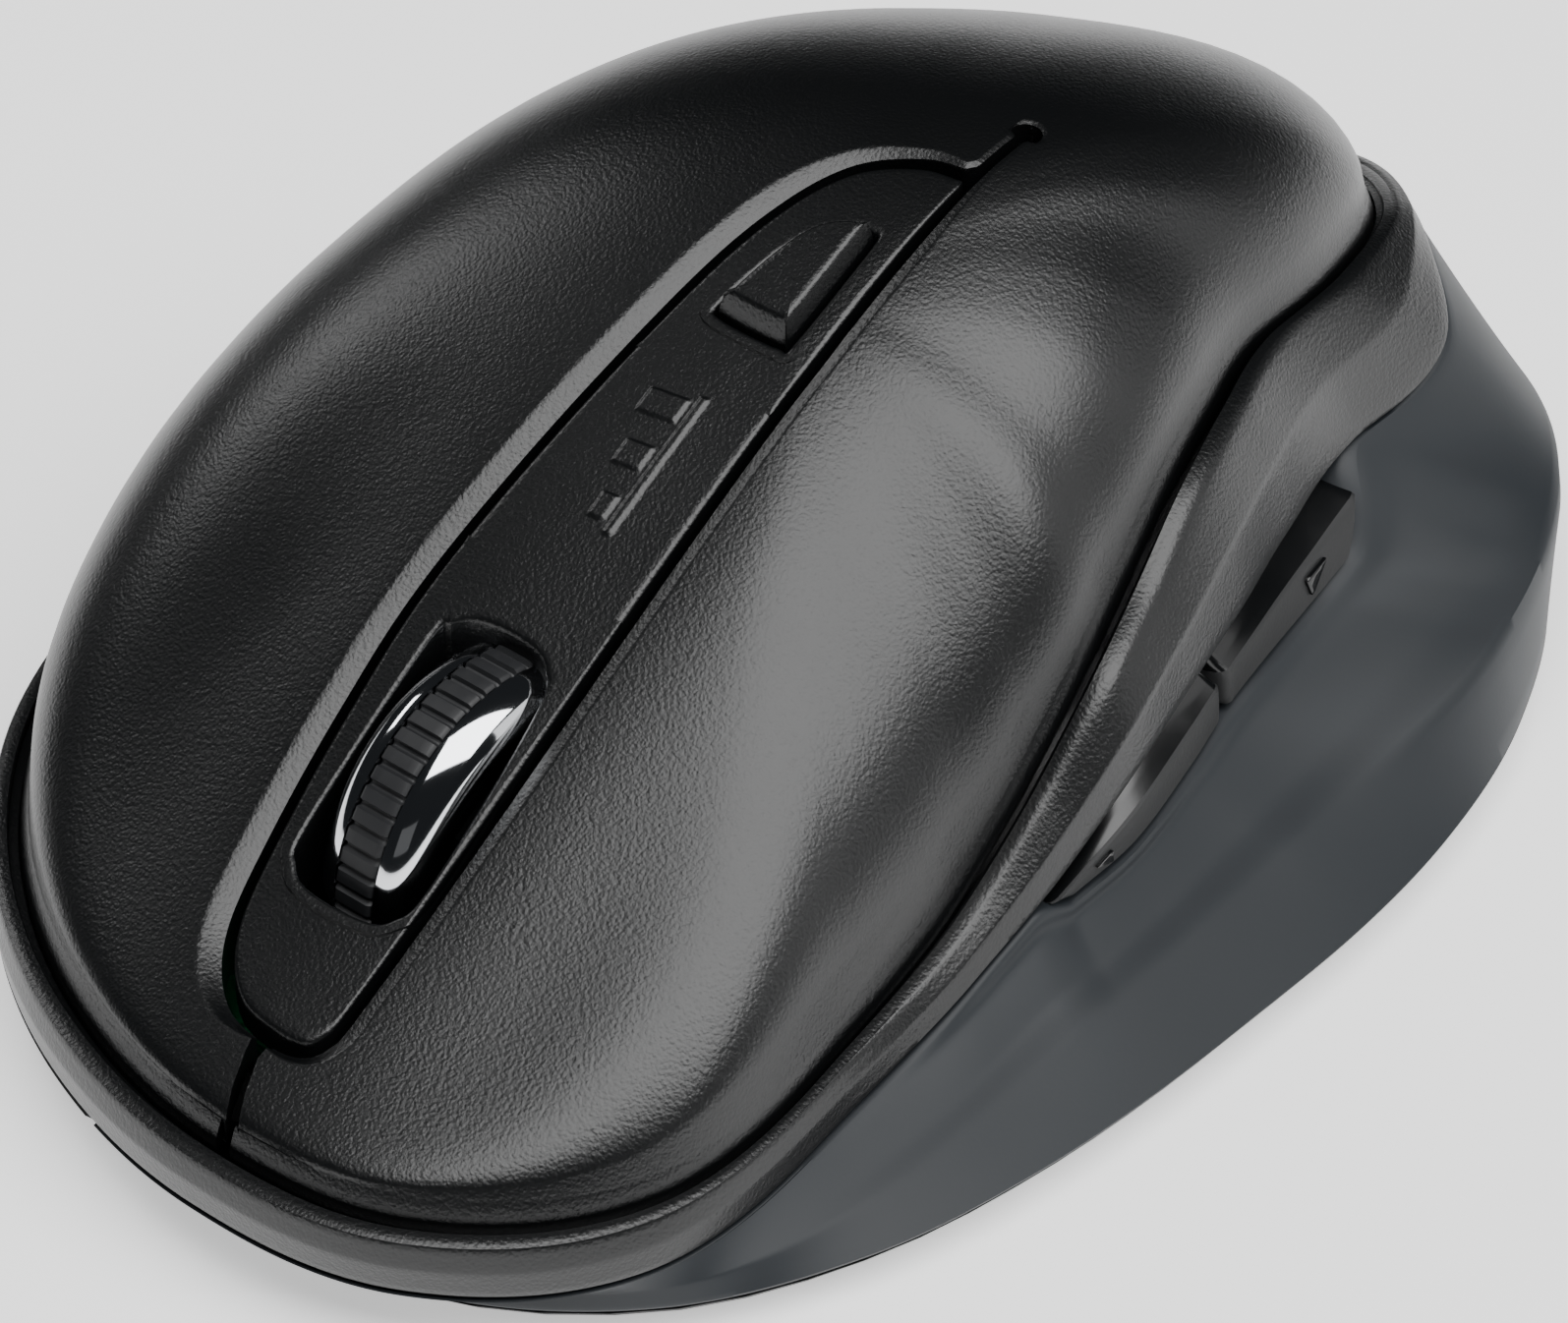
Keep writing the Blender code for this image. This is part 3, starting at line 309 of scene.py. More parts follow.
def even_line(points, step):
    """The same polyline with evenly spaced points."""
    along = np.concatenate([[0], np.cumsum(np.hypot(*np.diff(points, axis=0).T))])
    wanted = np.linspace(0, along[-1], max(2, round(along[-1] / step) + 1))
    return np.stack([np.interp(wanted, along, points[:, k]) for k in (0, 1)], 1)


def left_normals(line, soften):
    """Unit normals on the left of a polyline, averaged over some points each way."""
    along = np.gradient(line, axis=0)
    normals = np.stack([-along[:, 1], along[:, 0]], 1)
    normals /= np.hypot(*normals.T)[:, None]
    window = np.hanning(2 * soften + 3)[1:-1]
    padded = np.pad(normals, ((soften, soften), (0, 0)), mode="edge")
    smooth = np.stack([np.convolve(padded[:, k], window, mode="valid") for k in (0, 1)], 1)
    return smooth / np.hypot(*smooth.T)[:, None]


def chamfer(distance, width, depth):
    """How far an edge's chamfer lies under the surface, with a slightly rounded break at its top."""
    return depth * np.clip(1 - distance / width, 0, 1) ** 1.15


strip_line = smooth_line(STRIP_EDGE, 0.4)
strip_out = -left_normals(strip_line, 2)  # the outline runs with the strip on its left
gap_line = strip_line + strip_out * GAP_WIDTH
EDGE_GAP = GAP_WIDTH / 2
split_front = np.array([(2.5, -46.0), (3.2, -47.8), (4.0, -49.3)])

# Right button and palm: from the front split round the strip, up the slot, round its keyhole and to the flex line.
strip_side = gap_line[::-1]
turn = np.radians(np.linspace(202, -22, 13))
keyhole = np.stack([SPLIT_X + KEYHOLE_RADIUS * np.cos(turn), KEYHOLE_Y + KEYHOLE_RADIUS * np.sin(turn)], 1)
corner = np.array([[SPLIT_X - EDGE_GAP, 11.6]])
around_strip = strip_side[(strip_side[:, 0] < 5.0) & ((strip_side[:, 0] < 2.0) | (strip_side[:, 1] > 0))]
right_edge = even_line(np.vstack([around_strip, corner, [[SPLIT_X - EDGE_GAP, SLOT_END]], keyhole,
                                  [[SPLIT_X + EDGE_GAP, SLOT_END]], [[SPLIT_X + EDGE_GAP, FLEX_Y]]]), 0.3)
# Left button: from the front split round the strip's corner and straight up the centre gap.
left_start = gap_line[(gap_line[:, 1] < -43.0) & (gap_line[:, 0] > 3.0)]
left_edge = even_line(np.vstack([left_start, [[SPLIT_X + EDGE_GAP, -42.0]], [[SPLIT_X + EDGE_GAP, FLEX_Y]]]), 0.3)
FLEX_ANGLE = 37.5  # where the flex line meets the trim
OFFSETS = np.array([0.0, 0.08, 0.3, 0.6, 0.85, 1.0, 1.15, 1.5, 2.0])  # rows over the chamfer, in its widths
SWING_ROWS = 26


def cover_piece(name, edge, side, stops, split_line, bevel_widths, bevel_depths):
    """One finger of the cover: rows run from its inner edge, beside the strip, out to the trim.

    side is 1 where the material lies on the edge line's left. stops pairs places along the edge, as shares of
    its points, with angles on the outer border. split_line is the slit at the front, which is the first row.
    """
    normals = left_normals(edge, 5) * side
    count = len(edge)
    share = np.linspace(0, 1, count)
    angles = np.interp(share, *zip(*stops))
    widths = np.interp(share, *zip(*bevel_widths))[:, None]
    depths = np.interp(share, *zip(*bevel_depths))[:, None]
    near = OFFSETS * widths
    start = edge[:, None, :] + normals[:, None, :] * near[:, :, None]
    radius, low = ring_at(TRIM_TOP, angles)
    rim = polar(radius - FACET_WIDTH, low * 0, angles)[:, :2]
    reach = np.linspace(0, 1, 46)[1:, None] ** 0.92
    far = start[:, -1:, :] + (rim - start[:, -1])[:, None, :] * reach[None]
    # The first rows swing round so that the first lies along the slit.
    flat = np.concatenate([start, far], 1)
    slit = even_line(np.vstack([edge[:1], split_line, rim[:1]]), 0.001 + 7.0 / flat.shape[1])
    slit = np.stack([np.interp(np.linspace(0, 1, flat.shape[1]), np.linspace(0, 1, len(slit)), slit[:, k])
                     for k in (0, 1)], 1)
    swing = np.clip(1 - share * count / SWING_ROWS, 0, 1)[:, None, None] ** 2
    flat = flat + swing * (slit - flat[0])[None]
    drop = np.concatenate([chamfer(near, widths, depths), np.zeros(far.shape[:2])], 1)
    height = dome_z(flat[..., 0], flat[..., 1]) - drop
    top = np.concatenate([flat, height[..., None]], -1)
    # The smooth facet on the lower border, and the skirt that goes down inside the trim.
    border = [(radius - FACET_WIDTH + out, low + up, angles) for out, up in
              ((0.1, 1.15), (0.38, 0.55), (0.56, 0.1), (0.6, -0.15), (0.6, -2.4))]
    top = np.concatenate([top, np.stack([polar(*ring) for ring in border], 1)], 1)
    under = top.copy()
    under[..., 2] -= COVER_WALL
    under[:, :6, 2] -= np.linspace(COVER_WALL, 0, 6)
    inward = np.array([AXIS_X, AXIS_Y]) - under[:, -6:, :2]
    under[:, -6:, :2] += inward / np.linalg.norm(inward, axis=-1, keepdims=True) * SKIRT_WALL
    under[:, -1, 2] += COVER_WALL
    return plate(name, top, under, black_abs, ends=(True, False))


# For each piece: the border's angles, then the chamfer's width and its depth, each against the share of the edge.
right_skin = cover_piece(
    "right_button_and_palm", right_edge, 1,
    [(0, -89.6), (0.06, -103), (0.2, -136), (0.35, -163), (0.55, -190), (0.72, -212), (0.80, -226), (0.86, -250),
     (0.9, -274), (0.95, -300), (1, -360 + FLEX_ANGLE)], split_front - (0.45, 0.1),
    [(0, 1.5), (0.3, 1.35), (0.7, 1.2), (0.8, 0.6), (0.86, 0.3), (1, 0.3)],
    [(0, 0.6), (0.7, 0.55), (0.8, 0.3), (0.86, 0.12), (1, 0.12)])
left_skin = cover_piece(
    "left_button_skin", left_edge, -1,
    [(0, -88.4), (0.04, -80), (0.2, -62), (0.45, -35), (0.7, -5), (1, FLEX_ANGLE)], split_front + (0.45, -0.1),
    [(0, 1.3), (0.1, 0.9), (0.9, 0.75), (1, 0.3)], [(0, 0.55), (0.1, 0.4), (0.9, 0.3), (1, 0.12)])
for skin, side in ((right_skin, "right_button"), (left_skin, "left_button")):
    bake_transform(skin)
    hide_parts(side)
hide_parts("palm_cover")

# ---------------------------------------------------------------- trim band
# A second ABS moulding that frames the cover, in two facets with a crisp crease between them. It snaps over the
# lower case, has the cover's grain, and tapers to a rounded tip behind the thumb.

# The band's lower edge before it climbs, as (degrees, radius, height).
TRIM_FOOT = [
    (-90, 50.9, 4.8), (-75, 50.2, 4.8), (-60, 45.1, 5.3), (-45, 33.8, 6.9), (-30, 28.0, 9.4), (-15, 25.2, 12.0),
    (0, 24.2, 15.0), (15, 23.9, 16.3), (30, 25.2, 17.3), (45, 28.2, 18.0), (57, 33.6, 18.6), (66, 44.0, 19.2),
    (75, 48.0, 20.6), (88, 49.2, 19.6), (105, 48.8, 14.2), (120, 46.4, 10.6), (150, 41.6, 6.0), (165, 39.6, 4.9),
    (180, 39.1, 4.5), (195, 40.4, 4.5), (210, 42.9, 4.5), (225, 45.9, 4.5), (240, 48.2, 4.5), (255, 49.9, 4.6),
]
TRIM_FROM, TRIM_TO = -240.0, 86.0
CREASE = 0.56  # the crease's share of the height
TIP_FROM, TIP_TO, TIP_LEFT = 60.0, 80.0, 0.16  # where the tip narrows, and the share of the height that is left


def trim_foot(degrees):
    """The band's lower edge, which climbs to the upper one behind the thumb."""
    foot_radius, foot = ring_at(TRIM_FOOT, degrees)
    top_radius, top = ring_at(TRIM_TOP, degrees)
    climb = np.clip((degrees - TIP_FROM) / (TIP_TO - TIP_FROM), 0, 1)
    climb = (1 - TIP_LEFT) * climb**2 * (3 - 2 * climb)
    return foot_radius + (top_radius - foot_radius) * climb, foot + (top - foot) * climb


def section(degrees, pairs):
    """Rows of points at each angle, from (radius, height) pairs."""
    return np.stack([polar(radius, height, degrees) for radius, height in pairs], 1)


degrees = np.linspace(TRIM_FROM, TRIM_TO, 620)
foot_radius, foot = trim_foot(degrees)
top_radius, top = ring_at(TRIM_TOP, degrees)
crease_out = 0.35 + 0.5 * np.exp(-(((degrees - 25) / 45) ** 4))  # the crease stands out most beside the thumb
outside, inside = [], []
# (share of the height, how far in from the face, how far down), from the foot to behind the top edge
for share, inset, down in ((0, 0.6, 0.0), (0, 0.18, 0.0), (0.012, 0.05, 0), (0.04, 0, 0), (0.15, 0, 0), (0.3, 0, 0),
                           (0.45, 0, 0), (0.53, 0, 0), (CREASE, 0.015, 0), (0.59, 0, 0), (0.7, 0, 0), (0.83, 0, 0),
                           (0.93, 0, 0), (0.97, 0.05, 0.02), (1, 0.2, 0.06), (1, 0.35, 0), (1, 0.65, -0.05),
                           (1, 0.93, -0.08), (1, 1.0, 0.0), (1, 1.03, 0.5)):
    bulge = crease_out * min(share / CREASE, (1 - share) / (1 - CREASE))
    radius = foot_radius + (top_radius - foot_radius) * share + bulge - inset
    height = foot + (top - foot) * share - down
    outside.append((radius, height))
    inside.append((np.minimum(radius - 1.0 + inset * 0.6, radius - 0.5),
                   np.clip(height, foot + 0.15 * (top - foot), foot + 0.8 * (top - foot))))
trim_skin = plate("trim_skin", section(degrees, outside), section(degrees, inside), black_abs, sharp=30)
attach(trim_skin, "root")
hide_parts("trim_band")

# ---------------------------------------------------------------- thumb grip and lower case
# The grip is a soft-touch moulding on the lower case, with a dished rest for the thumb that ends in a firm edge
# towards the rear. On the far side the lower case itself comes up to the trim, in satin ABS.

# Rings of the lower wall, as (degrees, radius, height): its foot, its widest line, and its edge under the side keys.
WAIST = [
    (-90, 48.4, 2.6), (-75, 47.9, 2.6), (-60, 45.2, 2.6), (-45, 40.8, 2.6), (-30, 36.7, 2.6), (-15, 34.2, 2.6),
    (0, 33.5, 2.6), (15, 34.9, 2.6), (30, 38.0, 2.6), (45, 42.6, 2.6), (60, 47.8, 2.6), (75, 51.0, 2.6),
    (90, 51.6, 2.6), (105, 50.6, 2.6), (120, 47.4, 2.6), (135, 43.6, 2.6), (150, 40.3, 2.6), (165, 38.4, 2.6),
    (180, 38.1, 2.6), (195, 39.5, 2.6), (210, 42.0, 2.6), (225, 45.0, 2.6), (240, 47.3, 2.6), (255, 48.3, 2.6),
]
SHOULDER = [
    (-90, 49.6, 3.7), (-60, 45.1, 3.8), (-45, 38.6, 4.2), (-30, 33.2, 4.8), (-15, 30.2, 5.6), (0, 29.2, 6.0),
    (15, 30.2, 6.4), (30, 33.6, 7.0), (45, 41.0, 8.8), (60, 48.3, 10.5), (75, 52.3, 10.0), (90, 52.4, 8.4),
    (120, 48.0, 5.0), (150, 41.8, 4.0), (180, 38.8, 3.6), (225, 45.4, 3.6), (255, 49.3, 3.6),
]
KEY_LINE = [
    (-90, 50.6, 4.2), (-60, 45.1, 4.7), (-45, 34.6, 5.9), (-30, 28.6, 8.2), (-17, 25.7, 10.0), (0, 24.5, 10.2),
    (15, 24.3, 10.9), (30, 25.7, 12.0), (45, 30.2, 13.0), (57, 38.2, 15.6), (66, 47.4, 15.6), (80, 51.0, 16.0),
    (95, 50.4, 14.0), (120, 47.6, 9.5), (150, 42.0, 5.4), (180, 39.0, 4.0), (225, 45.8, 4.0), (255, 50.2, 4.1),
]
KEY_SPLIT = 25.0
KEYS_OPEN, KEYS_CLOSE = (-21.0, -13.0), (49.0, 58.5)  # where the grip's edge goes down and up again
SCOOP_DEPTH = 0.9
UNDER_TRIM = 0.3  # the joint line under the trim


def ease(value, low, high):
    """Goes smoothly from 0 to 1 between two values."""
    share = np.clip((value - low) / (high - low), 0, 1)
    return share * share * (3 - 2 * share)


def soft_touch(name, hex_colour, roughness, shine):
    """A soft-touch lacquer: smooth and matt, with faint polish where it is handled."""
    mat, tree, shader = new_material(name, hex_colour, IOR=1.5, Specular_IOR_Level=0.36)
    place = add(tree, "ShaderNodeTexCoord")
    rubbed = add(tree, "ShaderNodeTexNoise", {"Scale": 1 / (14 * MM), "Detail": 4.0},
                 {"Vector": place.outputs["Object"]})
    gloss = add(tree, "ShaderNodeMapRange", {"To Min": roughness - shine, "To Max": roughness + shine},
                {"Value": rubbed.outputs["Fac"]})
    skin = add(tree, "ShaderNodeTexNoise", {"Scale": 1 / (0.25 * MM), "Detail": 2.0},
               {"Vector": place.outputs["Object"]})
    bump = add(tree, "ShaderNodeBump", {"Strength": 0.6, "Distance": 0.006 * MM}, {"Height": skin.outputs["Fac"]})
    tree.links.new(gloss.outputs["Result"], shader.inputs["Roughness"])
    tree.links.new(bump.outputs["Normal"], shader.inputs["Normal"])
    return mat


# ABS sprayed with a soft-touch lacquer: a blue-grey matt skin with wide soft gradients and no sharp highlight.
grip_coat = soft_touch("soft_touch_lacquer", "#1e2226", 0.50, 0.04)
# ABS moulded in a finely blasted tool: an even, dry satin black.
satin_abs = grained_abs("black_abs_satin", "#161718", 0.60, 0.25, 0.010)
SIDE_WALL = 1.5


def grip_edge(degrees):
    """Upper edge of the grip: just under the trim, and lower where the side keys sit."""
    radius, height = trim_foot(degrees)
    key_radius, key_height = ring_at(KEY_LINE, degrees)
    keys = ease(degrees, *KEYS_OPEN) * (1 - ease(degrees, *KEYS_CLOSE))
    return radius + (key_radius - radius) * keys, height + (key_height - height) * keys - UNDER_TRIM


def side_rows(degrees, edge):
    """Outer and inner (radius, height) pairs of the side wall, from the floor to its upper edge."""
    waist_radius, waist = ring_at(WAIST, degrees)
    mid_radius, mid = ring_at(SHOULDER, degrees)
    top_radius, top = edge
    mid = np.maximum(np.minimum(mid, top - 0.3), waist + 0.2)
    waist = np.minimum(waist, mid - 0.2)
    outer = [(waist_radius - 0.9, waist - 0.45), (waist_radius - 0.35, waist - 0.4), (waist_radius - 0.08, waist - 0.2),
             (waist_radius, waist)]
    for share in (0.2, 0.45, 0.7, 0.9):
        outer.append((waist_radius + (mid_radius - waist_radius) * share, waist + (mid - waist) * share))
    for share in np.linspace(0.02, 0.97, 20):
        # The wall leaves the shoulder in a soft round and dishes in behind it.
        scoop = (SCOOP_DEPTH * ease(degrees, -50, -22) * (1 - ease(degrees, 53.5, 58)) * ease(share, 0.03, 0.3)
                 * (1 - ease(share, 0.72, 1.0)))
        outer.append((mid_radius + (top_radius - mid_radius) * share - scoop, mid + (top - mid) * share))
    outer += [(top_radius - 0.03, top - 0.06), (top_radius - 0.15, top), (top_radius - 1.0, top),
              (top_radius - SIDE_WALL, top - 0.1)]
    inner = [(radius - SIDE_WALL, np.clip(height, waist - 0.4, top - 1.2)) for radius, height in outer]
    return outer, inner


degrees = np.linspace(-100, 140, 560)  # the grip's run
outer, inner = side_rows(degrees, grip_edge(degrees))
grip_skin = plate("grip_skin", section(degrees, outer), section(degrees, inner), grip_coat, sharp=42)
degrees = np.linspace(141, 259, 240)  # the lower case's own run
foot_radius, foot = ring_at(TRIM_FOOT, degrees)
outer, inner = side_rows(degrees, (foot_radius, foot - UNDER_TRIM))
case_skin = plate("case_side_skin", section(degrees, outer), section(degrees, inner), satin_abs, sharp=42)
for skin in (grip_skin, case_skin):
    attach(skin, "root")
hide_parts("thumb_grip")
for node in ("bottom_case", "battery_door", "receiver_cap", "power_slider"):
    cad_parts[node].material_slots[0].material = satin_abs

# ---------------------------------------------------------------- centre strip
# A grained ABS moulding that stands a little lower than the two buttons. It has a deep opening for the wheel and
# one for the resolution key, with small rounded edges, and a raised pictogram of rising bars between them.

WHEEL_HOLE = [
    (-3.9, -24.6), (-3.3, -23.1), (-1.6, -22.3), (1.6, -22.2), (3.3, -22.9), (4.2, -24.8), (5.0, -34.4),
    (4.4, -36.7), (2.8, -37.5), (-0.9, -37.6), (-2.7, -36.8), (-3.5, -34.8),
]
KEY_HOLE = [
    (3.85, -2.4), (3.85, 4.2), (3.2, 4.9), (1.8, 4.6), (0.3, 3.4), (-0.7, 1.3), (-1.5, -2.3), (-1.1, -3.1),
    (3.2, -3.1),
]
STRIP_DROP, STRIP_WALL, STRIP_RIGHT = 0.25, 1.8, 5.45
STRIP_FRONT, STRIP_REAR = -19.0, -6.5  # the plain stretch that carries the pictogram
BAR_HEIGHT, BAR_SOFT = 0.11, 0.13


def closed_line(points, step):
    """Evenly spaced points along a smooth closed curve through the given corners."""
    points = np.array(points, float)
    fine = [span(*(points[(i + k) % len(points)] for k in (-1, 0, 1, 2))) for i in range(len(points))]
    return even_line(np.vstack(fine + [points[:1]]), step)[:-1]


def outward(loop):
    """Unit normals that point out of a closed loop."""
    along = np.roll(loop, -1, 0) - np.roll(loop, 1, 0)
    normals = np.stack([along[:, 1], -along[:, 0]], 1)
    normals = sum(np.roll(normals, k, 0) for k in (-2, -1, 0, 1, 2))
    area = np.sum(loop[:, 0] * np.roll(loop[:, 1], -1) - loop[:, 1] * np.roll(loop[:, 0], -1))
    return normals * np.sign(area) / np.hypot(*normals.T)[:, None]


def reach_of(outline, centre, turns):
    """How far a closed outline lies from a centre, in each direction."""
    a = np.array(outline) - centre
    edge = np.roll(a, -1, 0) - a
    way = np.stack([np.cos(turns), np.sin(turns)], 1)[:, None]
    cross = way[..., 0] * edge[:, 1] - way[..., 1] * edge[:, 0]
    cross[np.abs(cross) < 1e-12] = 1e-12
    far = (a[:, 0] * edge[:, 1] - a[:, 1] * edge[:, 0]) / cross
    share = (a[:, 0] * way[..., 1] - a[:, 1] * way[..., 0]) / cross
    return np.where((share > -1e-9) & (share < 1 + 1e-9) & (far > 0), far, np.inf).min(1)


def strip_left(y):
    """The strip's curved side at a place along it."""
    side = strip_line[(strip_line[:, 0] < 2.6) & (strip_line[:, 1] < 9.9) & (strip_line[:, 1] > -43.0)]
    return np.interp(y, side[::-1, 1], side[::-1, 0])


def strip_frame(name, hole, centre, border, cut_at, wall):
    """The part of the strip round one opening, out to its border."""
    loop = closed_line(hole, 0.16)
    turns = np.arctan2(*(loop - centre).T[::-1])
    corners = [p for p in border if abs(p[1] - cut_at) < 1e-6]
    turns = np.sort(np.concatenate([turns] + [[math.atan2(p[1] - centre[1], p[0] - centre[0])] for p in corners]))
    way = np.stack([np.cos(turns), np.sin(turns)], 1)
    near = np.array(centre) + way * reach_of(loop, centre, turns)[:, None]
    far = np.array(centre) + way * reach_of(border, centre, turns)[:, None]
    width = np.hypot(*(far - near).T)[:, None]
    out = outward(near)
    free = np.abs(far[:, 1:] - cut_at) > 0.02  # not where it joins the plain stretch
    rows, drops = [], []
    # The opening's wall and rounded edge, as (how far out, how far down), and then the face out to the border.
    for distance, drop in ((0, wall), (0, 1.2), (0, 0.3), (0.04, 0.13), (0.12, 0.05), (0.25, 0.0)):
        rows.append(near + out * distance)
        drops.append(np.full((len(near), 1), drop))
    for share in np.linspace(0, 1, 16)[1:-1]:
        rows.append(rows[5] + (far - way * 0.3 - rows[5]) * share)
        drops.append(np.zeros((len(near), 1)))
    # The border's rounded edge and wall, as (how far in, how far down).
    for inset, drop in ((0.3, 0.0), (0.14, 0.04), (0.04, 0.12), (0, 0.28), (0, STRIP_WALL)):
        rows.append(far - way * inset * np.where(free, 1, 0.02 + inset / 0.31))
        drops.append(np.where(free, drop, 0.0 if drop < 1 else drop))
    flat = np.stack(rows, 1)
    height = dome_z(flat[..., 0], flat[..., 1]) - STRIP_DROP - np.concatenate(drops, 1)
    top = np.concatenate([flat, height[..., None]], -1)
    under = top.copy()
    under[:, :4, :2] = (near + out * 0.8)[:, None]
    under[:, 4:, 2] = dome_z(flat[:, 4:, 0], flat[:, 4:, 1]) - STRIP_DROP - STRIP_WALL
    return plate(name, top, under, black_abs, loop=True, sharp=40)


def border_of(low, high, cut_at):
    """The strip's outline between two places along it, closed by a straight line at cut_at."""
    kept = strip_line[(strip_line[:, 1] > low) & (strip_line[:, 1] < high)]
    cut = [(strip_left(cut_at), cut_at), (STRIP_RIGHT, cut_at)]
    return np.vstack([kept, cut[::-1]] if cut_at > low + 1 else [kept, cut])


front_border = border_of(-60, STRIP_FRONT, STRIP_FRONT)
rear_border = border_of(STRIP_REAR, 60, STRIP_REAR)
strip_fore = strip_frame("strip_round_the_wheel", WHEEL_HOLE, (0.5, -30.0), front_border, STRIP_FRONT, 4.0)
strip_aft = strip_frame("strip_round_the_key", KEY_HOLE, (1.6, 0.6), rear_border, STRIP_REAR, 2.6)

# The plain stretch, with the pictogram raised on a fine grid: three rising bars on a base line.
rows_y = np.linspace(STRIP_FRONT, STRIP_REAR, 180)
across = np.concatenate([[0, 0, 0.004, 0.012, 0.026], np.linspace(0.05, 0.95, 96), [0.974, 0.988, 0.996, 1, 1]])
edge_drop = np.concatenate([[STRIP_WALL, 0.28, 0.12, 0.04, 0.0], np.zeros(96),
                            [0.0, 0.04, 0.12, 0.28, STRIP_WALL]])
left = strip_left(rows_y)[:, None]
flat_x = left + (STRIP_RIGHT - left) * across[None]
flat_y = np.repeat(rows_y[:, None], len(across), 1)
mark = np.zeros(flat_x.shape)
# (from x, to x, from y, to y) for the base line and the bars
for x0, x1, y0, y1 in ((1.25, 1.75, -15.8, -7.4), (-0.2, 0.8, -15.2, -13.8), (-0.95, 0.8, -12.2, -10.8),
                       (-1.7, 0.8, -9.2, -7.8)):
    lean = flat_y - 0.12 * (flat_x - 0.8)
    inside = (ease(flat_x, x0 - BAR_SOFT, x0 + BAR_SOFT) * (1 - ease(flat_x, x1 - BAR_SOFT, x1 + BAR_SOFT))
              * ease(lean, y0 - BAR_SOFT, y0 + BAR_SOFT) * (1 - ease(lean, y1 - BAR_SOFT, y1 + BAR_SOFT)))
    mark = np.maximum(mark, inside)
height = dome_z(flat_x, flat_y) - STRIP_DROP - edge_drop + BAR_HEIGHT * mark
top = np.stack([flat_x, flat_y, height], -1)
under = top.copy()
under[..., 2] = dome_z(flat_x, flat_y) - STRIP_DROP - STRIP_WALL
strip_middle = plate("strip_with_pictogram", top, under, black_abs, ends=(False, False), sharp=62)
for piece in (strip_fore, strip_aft, strip_middle):
    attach(piece, "root")
    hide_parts("centre_bezel")

# ---------------------------------------------------------------- resolution key
# A small ABS key with drafted sides that stands out of its opening, and a stem below it that works a switch.

KEY_LIFT, KEY_CLEAR, KEY_DEEP = 0.95, 0.3, 2.4
key_loop = closed_line(KEY_HOLE, 0.2)
key_loop = key_loop - outward(key_loop) * KEY_CLEAR
key_in = -sum(np.roll(outward(key_loop), k, 0) for k in range(-4, 5)) / 9
middle = key_loop.mean(0)
rows, lifts = [], []
# The drafted side and the rounded top edge, as (how far in, how far above the cover's form), and then the top.
for inset, lift in ((0, -KEY_DEEP), (0, -0.35), (0.03, -0.2), (0.36, 0.7), (0.42, 0.82), (0.5, 0.9), (0.6, KEY_LIFT)):
    rows.append(key_loop + key_in * inset)
    lifts.append(lift)
for share in (0.8, 0.6, 0.4, 0.2, 0.0):
    rows.append(middle + (rows[6] - middle) * share)
    lifts.append(KEY_LIFT)
flat = np.stack(rows, 1)
height = dome_z(flat[..., 0], flat[..., 1]) + np.array(lifts)[None]
top = np.concatenate([flat, height[..., None]], -1)
under = top.copy()
under[..., 2] = dome_z(flat[..., 0], flat[..., 1]) - KEY_DEEP
key_skin = plate("resolution_key", top, under, black_abs, loop=True, sharp=26)
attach(key_skin, "dpi_button")
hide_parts("dpi_button")

# ---------------------------------------------------------------- side keys
# Two satin ABS keys on an inner frame, each with a flat face below and a glossy finger edge above it, and a
# small triangle that shows its direction.

# ABS moulded in a polished tool: small bright glints along the finger edge, broken up a little by handling.
gloss_abs, tree, shader = new_material("black_abs_polished", "#0c0d0e", IOR=1.53)
place = add(tree, "ShaderNodeTexCoord")
wear = add(tree, "ShaderNodeTexNoise", {"Scale": 1 / (3 * MM), "Detail": 5.0}, {"Vector": place.outputs["Object"]})
fine_wear = add(tree, "ShaderNodeMapRange", {"To Min": 0.12, "To Max": 0.24}, {"Value": wear.outputs["Fac"]})
tree.links.new(fine_wear.outputs["Result"], shader.inputs["Roughness"])

KEY_GAP, KEY_GAPS = 0.2, 0.65  # what is free under a key, and under and over it together
FACE_TOP, GLOSS_FROM = 0.53, 0.57  # shares of a key's height
KEYS_LENGTH, END_ROUND = 17.0, 0.7  # about how long a key is, and how far its ends are rounded
